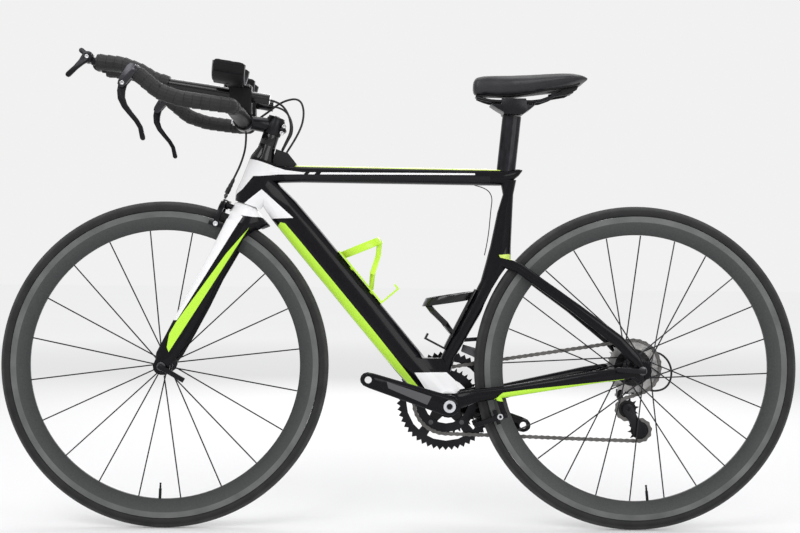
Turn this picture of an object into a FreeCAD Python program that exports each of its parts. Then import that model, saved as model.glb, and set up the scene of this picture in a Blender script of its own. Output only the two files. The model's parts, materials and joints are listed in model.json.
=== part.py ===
import FreeCAD, Part
import math
import os
import re
import types

import Sketcher

# Time trial bike. Origin on the ground, halfway between the axles, in the frame's centre plane.
# +X points to the rear wheel, +Y to the drive side, +Z up. All lengths are in millimetres.

V = FreeCAD.Vector
ORIGIN = V(0, 0, 0)
ACROSS = V(0, 1, 0)
REARWARD = V(1, 0, 0)
UP = V(0, 0, 1)

SIZES = {
    # stance of the bike
    "wheelbase": 970.0,
    "head_angle": 71.7,
    "fork_rake": 52.0,
    "chainstay_length": 396.2,
    "bracket_drop": 75.0,
    # clearances
    "running_gap": 0.1,
    "seat_gap": 0.15,
    "turning_gap": 0.3,
    "steering_gap": 1.2,
    "tyre_gap": 6.0,
    # wheels
    "tyre_radius": 335.0,
    "tyre_width": 25.0,
    "tyre_height": 20.5,
    "rim_width": 20.5,
    "rim_depth": 38.5,
    "brake_track": 12.0,
    "rim_nose": 6.0,
    "spoke_width": 2.6,
    "spoke_thickness": 1.2,
    "front_spoke_count": 20,
    "rear_spoke_count": 24,
    "spoke_crossing": 60.0,
    "front_dropout_gap": 100.0,
    "rear_dropout_gap": 130.0,
    "dropout_thickness": 8.0,
    "axle_radius": 4.8,
    "hub_cap_radius": 9.0,
    "front_flange_radius": 20.0,
    "front_flange_offset": 34.0,
    "front_shell_radius": 12.0,
    "rear_flange_radius": 24.0,
    "left_flange_offset": 36.0,
    "right_flange_offset": 16.0,
    "rear_shell_radius": 15.0,
    "flange_thickness": 3.0,
    "skewer_nut_radius": 9.0,
    "skewer_nut_length": 10.0,
    "release_lever_length": 52.0,
    "release_lever_width": 10.0,
    # fork and headset
    "steerer_radius": 14.3,
    "steerer_rise": 89.0,
    "crown_rise": 36.0,
    "crown_reach": 59.0,
    "head_tube_length": 91.0,
    "bearing_height": 8.0,
    "lower_bearing_radius": 22.0,
    "upper_bearing_radius": 20.0,
    "cover_height": 31.0,
    "cover_radius": 26.0,
    "spacer_radius": 17.3,
    "spacer_height": 24.0,
    # cockpit
    "stem_clamp_radius": 19.0,
    "stem_clamp_height": 33.0,
    "stem_length": 61.0,
    "stem_drop": 9.0,
    "bar_clamp_radius": 15.9,
    "stem_wall": 4.5,
    "stem_half_width": 23.0,
    "bar_half_width": 210.0,
    "bullhorn_radius": 14.4,
    "extension_spread": 53.0,
    "extension_radius": 11.1,
    "extension_tape": 4.0,
    "pad_spread": 110.0,
    "pad_radius": 47.0,
    "pad_thickness": 10.0,
    "pad_length": 66.0,
    "pad_tilt": 9.0,
    "cup_thickness": 3.0,
    "brake_lever_scale": 1.0,
    "brake_lever_thickness": 7.2,
    "shift_lever_length": 52.0,
    "shift_lever_thickness": 6.0,
    "housing_radius": 2.2,
    "wire_radius": 1.0,
    # frame
    "down_tube_depth": 65.0,
    "down_tube_width": 34.0,
    "top_tube_depth": 35.0,
    "top_tube_width": 36.0,
    "bracket_shell_radius": 27.0,
    "bracket_shell_width": 68.0,
    "bracket_bearing_radius": 21.0,
    "bracket_bearing_width": 7.0,
    # seatpost and saddle
    "post_lean": 5.6,
    "post_chord": 39.0,
    "post_width": 26.0,
    "post_stem_chord": 13.0,
    "post_stem_width": 16.0,
    "post_stem_length": 62.0,
    "saddle_length": 236.0,
    "saddle_height": 937.0,
    "saddle_stack": 82.5,
    "saddle_width": 132.0,
    "saddle_nose_width": 44.0,
    "rail_spacing": 44.0,
    "rail_radius": 3.5,
    # drive
    "spindle_radius": 15.0,
    "crank_length": 172.5,
    "crank_angle": 17.6,
    "crank_inner_face": 58.0,
    "crank_thickness": 13.0,
    "pedal_hole_radius": 7.14,
    "pedal_boss_radius": 13.2,
    "chain_pitch": 12.7,
    "roller_radius": 3.85,
    "chain_inner_width": 2.2,
    "chain_plate": 0.8,
    "chain_plate_height": 8.2,
    "large_ring_teeth": 50,
    "small_ring_teeth": 34,
    "large_ring_line": 46.5,
    "small_ring_line": 40.8,
    "ring_thickness": 2.0,
    "bolt_circle_radius": 55.0,
    "largest_cog_line": 23.1,
    "cog_spacing": 3.74,
    "cog_thickness": 1.6,
    "pulley_teeth": 11,
    "cage_length": 51.5,
    # brakes
    "pad_gap": 1.5,
    "shoe_length": 30.0,
    "shoe_height": 8.0,
    "brake_arm_thickness": 10.0,
    "pivot_pin_radius": 3.0,
    # bottle cages
    "bottle_radius": 37.5,
    "cage_strap": 2.5,
}

doc = FreeCAD.newDocument("time_trial_bike")
sheet = doc.addObject("Spreadsheet::Sheet", "Sizes")
for row, (alias, value) in enumerate(SIZES.items(), start=1):
    sheet.set(f"A{row}", alias)
    sheet.set(f"B{row}", str(value))
    sheet.setAlias(f"B{row}", alias)
doc.recompute()
d = types.SimpleNamespace(**{alias: float(getattr(sheet, alias)) for alias in SIZES})

subparts = []

# Anchor points and directions that every piece is placed from

front_axle = V(-d.wheelbase / 2, 0, d.tyre_radius)
rear_axle = V(d.wheelbase / 2, 0, d.tyre_radius)
head_slope = math.radians(d.head_angle)
STEER = V(math.cos(head_slope), 0, math.sin(head_slope))
BEHIND = V(math.sin(head_slope), 0, -math.cos(head_slope))
steer_foot = front_axle + BEHIND * d.fork_rake
chainstay_run = math.sqrt(d.chainstay_length**2 - d.bracket_drop**2)
bracket = rear_axle + V(-chainstay_run, 0, -d.bracket_drop)
rim_bed = d.tyre_radius - d.tyre_height - d.seat_gap
rim_inside = rim_bed - d.rim_depth
track_middle = rim_bed - d.brake_track * 0.7


def steer(along, behind, across=0.0):
    """Point beside the steering axis: along it from the axle's level, behind it and across."""
    return steer_foot + STEER * along + BEHIND * behind + V(0, across, 0)


crown_top = d.tyre_radius + d.crown_rise
head_tube_top = crown_top + d.head_tube_length
steerer_top = head_tube_top + d.steerer_rise
cover_foot = head_tube_top + d.turning_gap
stem_bottom = cover_foot + d.cover_height + d.spacer_height
stem_middle = stem_bottom + d.stem_clamp_height / 2
bar = steer(stem_middle - d.stem_drop, -d.stem_length)


# Document helpers


def bound(text):
    """An expression whose size names are read from the sheet."""
    return re.sub(r"[a-z][a-z_]*", lambda word: "Sizes." + word.group(0), text)


def number(text):
    return float(sheet.evalExpression(bound(text)))


def keep(label, obj):
    obj.Label = label
    subparts.append(obj)
    return obj


def shaped(label, shape):
    """A sub-part whose shape is worked out here from the sheet's sizes."""
    obj = doc.addObject("Part::Feature", label)
    obj.Shape = shape
    return keep(label, obj)


def turned(name, profile, origin, axis):
    """A turned piece: a closed profile of (along, radius) expressions spun about its axis."""
    body = doc.addObject("PartDesign::Body", name)
    sketch = body.newObject("Sketcher::SketchObject", name + "_profile")
    plane = [part for part in body.Origin.OriginFeatures if part.Role == "XY_Plane"][0]
    sketch.AttachmentSupport = [(plane, "")]
    sketch.MapMode = "FlatFace"
    corners = [V(number(along), number(radius), 0) for along, radius in profile]
    count = len(corners)
    for i in range(count):
        sketch.addGeometry(Part.LineSegment(corners[i], corners[(i + 1) % count]), False)
    for i in range(count):
        sketch.addConstraint(Sketcher.Constraint("Coincident", i, 2, (i + 1) % count, 1))
    for i, (along, radius) in enumerate(profile):
        across = sketch.addConstraint(Sketcher.Constraint("DistanceX", -1, 1, i, 1, corners[i].x))
        sketch.setExpression(f"Constraints[{across}]", bound(along))
        out = sketch.addConstraint(Sketcher.Constraint("DistanceY", -1, 1, i, 1, corners[i].y))
        sketch.setExpression(f"Constraints[{out}]", bound(radius))
    spin = body.newObject("PartDesign::Revolution", name + "_spin")
    spin.Profile = sketch
    spin.ReferenceAxis = (sketch, ["H_Axis"])
    spin.Angle = 360.0
    body.Placement = FreeCAD.Placement(origin, FreeCAD.Rotation(REARWARD, axis))
    return keep(name, body)


# Shape helpers. Round sections are drawn with flats, so that the lofts between them stay light.

FLATS = 12


def oval(centre, u, v, half_u, half_v, flats=FLATS):
    """Corners of an elliptical section in the plane of u and v."""
    corners = []
    for k in range(flats):
        turn = 2 * math.pi * k / flats
        corners.append(centre + u * (half_u * math.cos(turn)) + v * (half_v * math.sin(turn)))
    return corners


def outline_wire(corners):
    return Part.makePolygon(corners + corners[:1])


def flat(corners):
    return Part.Face(outline_wire(corners))


def loft(sections):
    """Solid through sections with equal numbers of corners; a bent strip is folded along its diagonal."""
    faces = [flat(sections[0]), flat(sections[-1])]
    for near, far in zip(sections, sections[1:]):
        for k in range(len(near)):
            a, b, c, e = near[k - 1], near[k], far[k], far[k - 1]
            bend = (b - a).cross(e - a).dot(c - a)
            if abs(bend) < 1e-6 * (b - a).Length * (c - a).Length * (e - a).Length:
                faces.append(flat([a, b, c, e]))
            else:
                faces.append(flat([a, b, c]))
                faces.append(flat([a, c, e]))
    shell = Part.Shell(faces)
    shell.sewShape()
    solid = Part.Solid(shell)
    if solid.Volume < 0:
        solid.reverse()
    return solid


def square_to(axis):
    """Two directions square to an axis."""
    hint = REARWARD if abs(axis.z) > 0.9 * axis.Length else UP
    u = hint.cross(axis).normalize()
    return u, V(axis).normalize().cross(u)


def lathe(origin, axis, stations, flats=16):
    """Turned form through (along, radius) stations."""
    u, v = square_to(axis)
    way = V(axis).normalize()
    return loft([oval(origin + way * along, u, v, radius, radius, flats) for along, radius in stations])


def peg(start, end, radius, flats=16):
    """Round bar between two points."""
    u, v = square_to(end - start)
    return flat(oval(start, u, v, radius, radius, flats)).extrude(end - start)


def socket(start, end, radius, flats=16):
    """Room for a turning bar: its flats clear the radius."""
    return peg(start, end, radius / math.cos(math.pi / flats), flats)


def across_peg(middle, radius, near, far, flats=16):
    return peg(V(middle.x, near, middle.z), V(middle.x, far, middle.z), radius, flats)


def drum(middle, radius, near, far):
    """True cylinder across the bike between two offsets from the centre plane."""
    return Part.makeCylinder(radius, far - near, V(middle.x, near, middle.z), ACROSS)


def block(low, high):
    size = high - low
    return Part.makeBox(size.x, size.y, size.z, low)


def flat_bar(start, end, width, thickness, thick_way):
    """Rectangular bar between two points, its thickness facing thick_way."""
    run = end - start
    along = V(run).normalize()
    wide = V(thick_way).cross(along).normalize()
    box = Part.makeBox(run.Length, width, thickness, V(0, -width / 2, -thickness / 2))
    box.Placement = FreeCAD.Placement(start, FreeCAD.Rotation(along, wide, along.cross(wide), "XYZ"))
    return box


def mirrored(shape):
    return shape.mirror(ORIGIN, ACROSS)


def both_sides(label, shape):
    shaped(label, Part.makeCompound([shape, mirrored(shape)]))


def plate(outline, near, far):
    """Plate in the XZ plane from its outline, between two offsets across the bike."""
    return flat([V(p.x, near, p.z) for p in outline]).extrude(V(0, far - near, 0))


def blade(stations, near, far):
    """Plate that follows a row of (point, half width) stations, with rounded ends."""
    points = [at for at, half in stations]
    ways = [V(b - a).normalize() for a, b in zip(points, points[1:])]
    ways = [ways[0]] + [V(a + b).normalize() for a, b in zip(ways, ways[1:])] + [ways[-1]]
    left = []
    right = []
    for (at, half), way in zip(stations, ways):
        side = V(-way.z, 0, way.x) * half
        left.append(at + side)
        right.append(at - side)

    def nose(at, half, way):
        side = V(-way.z, 0, way.x)
        return [at + (way * math.sin(turn) + side * math.cos(turn)) * half
                for turn in (math.pi / 4, math.pi / 2, 3 * math.pi / 4)]

    front = nose(points[-1], stations[-1][1], ways[-1])
    back = nose(points[0], stations[0][1], ways[0] * -1)
    return plate(left + front + right[::-1] + back, near, far)


def bends(points):
    """Each inner corner of a route with the start, crest and end of its tangent arc."""
    corners = []
    for before, corner, after in zip(points, points[1:], points[2:]):
        back = V(before - corner)
        ahead = V(after - corner)
        reach = 0.45 * min(back.Length, ahead.Length)
        back.normalize()
        ahead.normalize()
        half_turn = (math.pi - back.getAngle(ahead)) / 2
        radius = reach / math.tan(half_turn)
        inward = V(back + ahead).normalize()
        crest = corner + inward * (radius / math.cos(half_turn) - radius)
        corners.append((corner + back * reach, crest, corner + ahead * reach))
    return corners


def cable(points, radius):
    """Cable: straight runs joined by tangent arcs, swept with a round section."""
    edges = []
    start = points[0]
    for enter, crest, leave in bends(points):
        edges.append(Part.LineSegment(start, enter).toShape())
        edges.append(Part.Arc(enter, crest, leave).toShape())
        start = leave
    edges.append(Part.LineSegment(start, points[-1]).toShape())
    path = Part.Wire(edges)
    u, v = square_to(points[1] - points[0])
    return path.makePipeShell([outline_wire(oval(points[0], u, v, radius, radius, 6))], True, False)


def tube(points, radius, reference, flats=FLATS):
    """Rigid bent tube with its corners rounded, without twist about the reference direction."""
    ways = [V(b - a).normalize() for a, b in zip(points, points[1:])]
    places = [(points[0], ways[0])]
    for (enter, crest, leave), arriving, leaving in zip(bends(points), ways, ways[1:]):
        places.append((enter, arriving))
        places.append((crest, V(arriving + leaving).normalize()))
        places.append((leave, leaving))
    places.append((points[-1], ways[-1]))
    sections = []
    for at, way in places:
        v = way.cross(reference).normalize()
        sections.append(oval(at, v.cross(way), v, radius, radius, flats))
    return loft(sections)


def pitch_radius(teeth):
    return d.chain_pitch / (2 * math.sin(math.pi / teeth))


def toothed_plate(centre, teeth, phase, near, far, engaged=True):
    """Sprocket plate: pointed teeth, between seats that clear the chain's rollers where one runs on it."""
    pitch = pitch_radius(teeth)
    seat = pitch - d.roller_radius - d.turning_gap
    tip = pitch + d.roller_radius * 0.8
    step = 2 * math.pi / teeth
    outline = []
    for tooth in range(int(teeth)):
        middle = phase + step * tooth
        shape = ((seat, -0.24), (seat, 0.24), (tip, 0.5)) if engaged else ((seat, 0.0), (tip, 0.5))
        for radius, share in shape:
            turn = middle + share * step
            outline.append(centre + V(radius * math.cos(turn), 0, radius * math.sin(turn)))
    return plate(outline, near, far)


# Wheels


def tyre(label, centre):
    """Tubular tyre that sits on the rim's bed: side walls, shoulders and tread."""
    profile = [
        ("-tyre_width * 0.38", "tyre_radius - tyre_height"),
        ("tyre_width * 0.38", "tyre_radius - tyre_height"),
        ("tyre_width / 2", "tyre_radius - tyre_height / 2"),
        ("tyre_width * 0.24", "tyre_radius"),
        ("-tyre_width * 0.24", "tyre_radius"),
        ("-tyre_width / 2", "tyre_radius - tyre_height / 2"),
    ]
    turned(label, profile, centre, ACROSS)


def rim(label, centre):
    """Deep section rim: flat brake tracks, then straight walls that close to a narrow nose."""
    bed = "tyre_radius - tyre_height - seat_gap"
    profile = [
        ("-rim_width / 2", bed),
        ("rim_width / 2", bed),
        ("rim_width / 2", bed + " - brake_track"),
        ("rim_nose / 2", bed + " - rim_depth"),
        ("-rim_nose / 2", bed + " - rim_depth"),
        ("-rim_width / 2", bed + " - brake_track"),
    ]
    turned(label, profile, centre, ACROSS)


def wheel_point(centre, angle, radius, across):
    return centre + V(radius * math.cos(angle), across, radius * math.sin(angle))


def front_spokes():
    """Radial bladed spokes, alternately from the left and the right flange."""
    first = math.radians(-82.95)
    count = int(d.front_spoke_count)
    foot = d.front_flange_radius + d.turning_gap
    blades = []
    for i in range(count):
        angle = first + 2 * math.pi * i / count
        side = 1 if i % 2 else -1
        start = wheel_point(front_axle, angle, foot, side * d.front_flange_offset)
        end = wheel_point(front_axle, angle, rim_inside - d.turning_gap, side * d.rim_nose / 6)
        blades.append(flat_bar(start, end, d.spoke_width, d.spoke_thickness, ACROSS))
    shaped("front_spokes", Part.makeCompound(blades))


def rear_spokes():
    """Crossed bladed spokes; pairs that cross leave the flange on its two faces."""
    first = math.radians(-1.8)
    count = int(d.rear_spoke_count)
    crossing = math.radians(d.spoke_crossing)
    foot = d.rear_flange_radius + d.spoke_width / 2
    blades = []
    for i in range(count):
        angle = first + 2 * math.pi * i / count
        flange = -d.left_flange_offset if i % 2 else d.right_flange_offset
        lean = 1 if (i // 2) % 2 else -1
        across = flange + lean * 1.3 * d.spoke_thickness
        start = wheel_point(rear_axle, angle + lean * crossing, foot, across)
        inner = math.copysign(d.rim_nose / 6, flange)
        end = wheel_point(rear_axle, angle, rim_inside - 2 * d.turning_gap, inner)
        blades.append(flat_bar(start, end, d.spoke_width, d.spoke_thickness, ACROSS))
    shaped("rear_spokes", Part.makeCompound(blades))


def hubs():
    """Hub shells that turn on their fixed axles."""
    half = d.flange_thickness / 2
    end = d.front_dropout_gap / 2 - d.turning_gap
    flange = d.front_flange_offset
    right = [
        (flange - half - 6.0, d.front_shell_radius),
        (flange - half, d.front_flange_radius),
        (flange + half, d.front_flange_radius),
        (flange + half + 2.0, d.hub_cap_radius),
        (end, d.hub_cap_radius),
    ]
    left = [(-along, radius) for along, radius in reversed(right)]
    shell = lathe(front_axle, ACROSS, left + right, int(d.front_spoke_count / 2))
    shaped("front_hub", shell.cut(socket(front_axle - ACROSS * end, front_axle + ACROSS * end,
                                         d.axle_radius + d.running_gap)))
    low = -(d.rear_dropout_gap / 2 - d.turning_gap)
    high = d.right_flange_offset + half + 2.0
    stations = [
        (low, d.hub_cap_radius),
        (-d.left_flange_offset - half - 2.0, d.hub_cap_radius),
        (-d.left_flange_offset - half, d.rear_flange_radius),
        (-d.left_flange_offset + half, d.rear_flange_radius),
        (-d.left_flange_offset + half + 6.0, d.rear_shell_radius),
        (d.right_flange_offset - half - 6.0, d.rear_shell_radius),
        (d.right_flange_offset - half, d.rear_flange_radius),
        (d.right_flange_offset + half, d.rear_flange_radius),
        (high, d.rear_shell_radius),
    ]
    shell = lathe(rear_axle, ACROSS, stations, int(d.rear_spoke_count / 2))
    shaped("rear_hub", shell.cut(socket(rear_axle + ACROSS * low, rear_axle + ACROSS * high,
                                        d.axle_radius + d.running_gap)))


def axle(label, centre, gap):
    """Fixed axle through the dropouts, with the skewer's nut on the drive side and its cam head."""
    face = gap / 2 + d.dropout_thickness + d.seat_gap
    rod = across_peg(centre, d.axle_radius, -face - 1.0, face + 1.0)
    nut_end = face + d.skewer_nut_length
    nut = lathe(centre, ACROSS, [(face, d.skewer_nut_radius), (nut_end, d.skewer_nut_radius * 0.7)])
    head = across_peg(centre, d.skewer_nut_radius, -face - d.skewer_nut_length * 0.4, -face)
    shaped(label, rod.multiFuse([nut, head]))


def release_lever(label, centre, gap, heading):
    """Cam lever on the left end of the skewer; it lies along the heading and swings outward."""
    face = gap / 2 + d.dropout_thickness + d.seat_gap + d.skewer_nut_length * 0.4
    hub = d.skewer_nut_radius * 0.65
    along = V(heading).normalize()
    outward = ACROSS * -1
    length = d.release_lever_length
    stations = [
        (V(0, 0, 0), hub), (V(length * 0.25, 0, 1.0), 3.0), (V(length * 0.7, 0, 0.5),
                2.2), (V(length, 0, -1.0), 2.6)
    ]
    lever = blade(stations, -d.release_lever_width / 2, d.release_lever_width / 2)
    middle = centre + outward * (face + hub + d.turning_gap)
    lever.Placement = FreeCAD.Placement(
        middle, FreeCAD.Rotation(along, outward.cross(along), outward, "XYZ")
    )
    shaped(label, lever)


# Frame

BOWL_FLATS = 20


def steering_bowl(gap, clear):
    """Solid about the steering axis that the fork crown stays inside as it turns."""
    widen = 1.0 / math.cos(math.pi / BOWL_FLATS) if clear else 1.0
    stations = [
        (crown_top - 171.0, d.crown_reach),
        (crown_top - 28.0, d.crown_reach),
        (crown_top - 21.0, d.crown_reach - 19.0),
        (crown_top - 4.5, 17.0),
        (crown_top, 1.0),
    ]
    grown = [(along + gap, (radius + gap) * widen) for along, radius in stations]
    return lathe(steer_foot, STEER, grown, BOWL_FLATS)


def wheel_slot(centre, half_width):
    """Disc that clears the tyre."""
    reach = ACROSS * half_width
    return socket(centre - reach, centre + reach, d.tyre_radius + d.tyre_gap, 64)


def nut_recess(centre, gap):
    """Flat room on the outside of both dropouts for the skewer's nut and head."""
    face = gap / 2 + d.dropout_thickness
    room = socket(centre + ACROSS * face, centre + ACROSS * (face + 30.0), d.skewer_nut_radius + 1.0)
    return room.fuse(mirrored(room))


def axle_slot(centre, reach):
    """Open slot below an axle."""
    half = d.axle_radius + d.seat_gap
    return socket(centre - ACROSS * reach, centre + ACROSS * reach, half).fuse(
        block(centre + V(-half, -reach, -40.0), centre + V(half, reach, 0))
    )


post_lean = math.radians(d.post_lean)
POST_UP = V(math.sin(post_lean), 0, math.cos(post_lean))
POST_AFT = V(math.cos(post_lean), 0, -math.sin(post_lean))
POST_SHOULDER = -14.0
STEM_SETBACK = 10.5
post_foot = bracket + V(116.5, 0, 484.0)
post_height = (d.saddle_height - d.saddle_stack - post_foot.z) / math.cos(post_lean)


def post_point(up, behind=0.0):
    """Point beside the seatpost's axis, measured up from where it enters the frame."""
    return post_foot + POST_UP * up + POST_AFT * behind


def post_body(clear, top):
    """Post blade and the slim stem below its shoulder, grown all round by a clearance."""

    def section(up, chord, width, behind=0.0):
        return oval(post_point(up, behind), POST_AFT, ACROSS, chord / 2 + clear, width / 2 + clear)

    shoulder = POST_SHOULDER - clear
    upper = loft([section(shoulder, d.post_chord, d.post_width), section(top, d.post_chord, d.post_width)])
    foot = POST_SHOULDER - d.post_stem_length
    stem_size = (d.post_stem_chord, d.post_stem_width, STEM_SETBACK)
    stem = loft([section(foot, *stem_size), section(POST_SHOULDER + 2.0, *stem_size)])
    return upper.fuse(stem)


def head_tube():
    stations = [
        (crown_top - 6.0, 2.0, 28.0, 26.0),
        (crown_top + 13.0, 2.0, 33.0, 26.5),
        (crown_top + 40.0, 4.0, 32.0, 25.0),
        (head_tube_top, 4.0, 29.5, 24.5),
    ]
    return loft([oval(steer(h, r), BEHIND, ACROSS, a, b) for h, r, a, b in stations])


down_tube_top = steer(crown_top + 44.0, 16.0)
down_tube_foot = bracket + V(-6.6, 0, -5.5)


def down_tube():
    run = down_tube_foot - down_tube_top
    along = V(run).normalize()
    over = V(-along.z, 0, along.x)
    deep = d.down_tube_depth / 2
    wide = d.down_tube_width / 2
    stations = [
        (0.0, deep - 8, wide + 2),
        (0.12, deep - 1, wide + 1),
        (0.24, deep, wide),
        (0.58, deep, wide),
        (0.80, deep, wide + 5),
        (0.97, deep - 3, wide + 13),
    ]
    return loft([oval(down_tube_top + run * t, over, ACROSS, a, b) for t, a, b in stations])


def top_tube():
    start = steer(head_tube_top - 25.0, 12.0)
    end = bracket + V(104.0, 0, 467.0)
    tall = d.top_tube_depth / 2
    wide = d.top_tube_width / 2
    stations = [
        (start, tall + 3, wide + 3),
        (start + (end - start) * 0.16, tall, wide + 1),
        (start + (end - start) * 0.5, tall - 0.5, wide),
        (end, tall - 0.5, wide),
        (bracket + V(128.0, 0, 472.0), tall - 4, wide - 1),
        (bracket + V(143.0, 0, 478.0), 7.0, 8.0),
        (bracket + V(150.0, 0, 482.0), 1.5, 2.5),
    ]
    return loft([oval(at, UP, ACROSS, a, b) for at, a, b in stations])


def seat_tube():
    """Curved aero seat tube that follows the rear wheel."""
    stations = [
        (-36.0, 2.0, 50.0, 15.0),
        (-15.0, 15.0, 95.0, 15.0),
        (22.0, 55.0, 165.0, 14.0),
        (50.0, 88.0, 221.0, 14.0),
        (66.0, 112.0, 253.0, 14.5),
        (76.0, 128.0, 290.0, 15.0),
        (85.0, 128.0, 325.0, 14.5),
        (99.0, 130.5, 395.0, 13.5),
        (110.0, 132.0, 432.0, 13.0),
        (104.0, 138.0, 462.0, 15.0),
    ]
    sections = []
    for front, back, height, half_width in stations:
        middle = bracket + V((front + back) / 2, 0, height)
        sections.append(oval(middle, REARWARD, ACROSS, (back - front) / 2, half_width))
    return loft(sections)


def bracket_gusset():
    """Web that fills the corner between the down tube and the seat tube."""
    outline = [(-78, 70), (-57, 93), (-12, 93), (4, 66), (24, 30), (14, 2), (-36, 2)]
    return plate([bracket + V(x, 0, z) for x, z in outline], -15.5, 15.5)


def chain_stay():
    stations = [
        (0.03, 2.0, 22.0, 19.0, 10.0),
        (0.15, 7.0, 26.5, 14.0, 8.5),
        (0.30, 4.0, 27.0, 12.0, 8.0),
        (0.50, 4.0, 42.0, 12.5, 7.5),
        (0.75, 4.0, 61.0, 13.0, 6.5),
        (0.90, 1.5, d.rear_dropout_gap / 2 + 5.0, 12.0, 5.0),
        (1.0, 0.0, d.rear_dropout_gap / 2 + 4.5, 10.0, 4.2),
    ]
    run = rear_axle - bracket
    return loft([oval(bracket + run * t + V(0, y, z), UP, ACROSS, a, b) for t, z, y, a, b in stations])


def seat_stay():
    outer = d.rear_dropout_gap / 2 + 4.5
    stations = [
        (bracket + V(104.0, 7.0, 296.0), 11.0, 6.0),
        (bracket + V(142.0, 23.5, 281.0), 10.5, 6.0),
        (rear_axle + V(-130.0, 41.0, 123.0), 11.0, 6.5),
        (rear_axle + V(-47.0, 63.0, 59.0), 12.5, 6.0),
        (rear_axle + V(-14.0, outer, 24.0), 12.0, 4.5),
        (rear_axle + V(-2.0, outer, 6.0), 10.0, 4.2),
    ]
    run = V(stations[-1][0] - stations[1][0])
    over = V(-run.z, 0, run.x).normalize()
    return loft([oval(at, over, ACROSS, a, b) for at, a, b in stations])


REAR_PIVOT_SPREAD = 32.0
REAR_PIVOT_SETBACK = 16.0
REAR_BRAKE_OUT = V(-0.943, 0, -0.333).normalize()
REAR_BRAKE_DOWN = V(-REAR_BRAKE_OUT.z, 0, REAR_BRAKE_OUT.x)
rear_brake_middle = rear_axle + REAR_BRAKE_OUT * track_middle


def brake_post():
    """Post below a chain stay that one rear brake arm turns on, with its pin."""
    foot = rear_brake_middle - REAR_BRAKE_OUT * REAR_PIVOT_SETBACK + V(0, REAR_PIVOT_SPREAD, 0)
    half = d.brake_arm_thickness / 2
    shank = peg(foot - REAR_BRAKE_DOWN * (half + d.turning_gap), foot - REAR_BRAKE_DOWN * 42.0, 6.0, 10)
    hinge = peg(foot - REAR_BRAKE_DOWN * (half + 2.0), foot + REAR_BRAKE_DOWN * half, d.pivot_pin_radius, 10)
    return shank.fuse(hinge)


def frame():
    """One-piece carbon frame: tubes, stays, dropouts, brake posts and bearing seats."""
    inside = d.rear_dropout_gap / 2
    dropout = across_peg(rear_axle, 19.0, inside, inside + d.dropout_thickness, 20)
    half = [chain_stay(), seat_stay(), dropout, brake_post()]
    shell_half = d.bracket_shell_width / 2
    shell = across_peg(bracket, d.bracket_shell_radius, -shell_half, shell_half, 20)
    whole = head_tube().multiFuse(
        [down_tube(), top_tube(), seat_tube(), bracket_gusset(), shell] + half + [mirrored(p) for p in half]
    )
    lower_top = crown_top + d.steering_gap + d.bearing_height
    upper_low = head_tube_top - d.bearing_height
    beyond = head_tube_top + 60.0
    tools = [
        steering_bowl(d.steering_gap, True),
        wheel_slot(rear_axle, d.tyre_width / 2 + d.tyre_gap * 0.8),
        socket(steer(300.0, 0), steer(beyond, 0), d.steerer_radius + 2.0),
        peg(steer(crown_top - 10.0, 0), steer(lower_top, 0), d.lower_bearing_radius + d.running_gap,
            BEARING_FLATS),
        peg(steer(upper_low, 0), steer(beyond, 0), d.upper_bearing_radius + d.running_gap, BEARING_FLATS),
        across_peg(bracket, d.bracket_bearing_radius + d.running_gap, -shell_half - 9, shell_half + 9,
                   BEARING_FLATS),
        axle_slot(rear_axle, inside + 30.0),
        nut_recess(rear_axle, d.rear_dropout_gap),
        wheel_slot(front_axle, d.tyre_width / 2 + d.tyre_gap),
        peg(steer(head_tube_top, 0), steer(beyond, 0), d.cover_radius + 6.0),
        post_body(d.seat_gap, 60.0),
    ]
    for tool in tools:
        whole = whole.cut(tool)
    shaped("frame", whole)
    return whole


BEARING_FLATS = 12


def bearing(start, axis, width, inner, outer):
    end = start + V(axis).normalize() * width
    return peg(start, end, outer, BEARING_FLATS).cut(socket(start, end, inner, BEARING_FLATS))


def bearings():
    """Bearing rings in the head tube and in the ends of the bottom bracket shell."""
    inner = d.steerer_radius + d.running_gap
    lower = bearing(
        steer(crown_top + d.steering_gap, 0), STEER, d.bearing_height, inner, d.lower_bearing_radius
    )
    upper = bearing(
        steer(head_tube_top - d.bearing_height, 0), STEER, d.bearing_height, inner, d.upper_bearing_radius
    )
    shaped("headset_bearings", Part.makeCompound([lower, upper]))
    inner = d.spindle_radius + d.running_gap
    low = V(0, d.bracket_shell_width / 2 - d.bracket_bearing_width, 0)
    right = bearing(bracket + low, ACROSS, d.bracket_bearing_width, inner, d.bracket_bearing_radius)
    both_sides("bottom_bracket_bearings", right)


def headset():
    """Cone cover that turns on the head tube, and the spacers below the stem."""
    through = socket(steer(cover_foot, 0), steer(stem_bottom, 0), d.steerer_radius + d.running_gap)
    cone = [
        (cover_foot, d.cover_radius),
        (cover_foot + d.cover_height * 0.75, d.spacer_radius + 0.5),
        (cover_foot + d.cover_height, d.spacer_radius + 0.5),
    ]
    cover = lathe(steer_foot, STEER, cone).cut(through)
    spacer = peg(steer(cover_foot + d.cover_height, 0), steer(stem_bottom, 0), d.spacer_radius).cut(through)
    shaped("headset_spacers", Part.makeCompound([cover, spacer]))


FAIRING_RISE = 30.0


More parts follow.
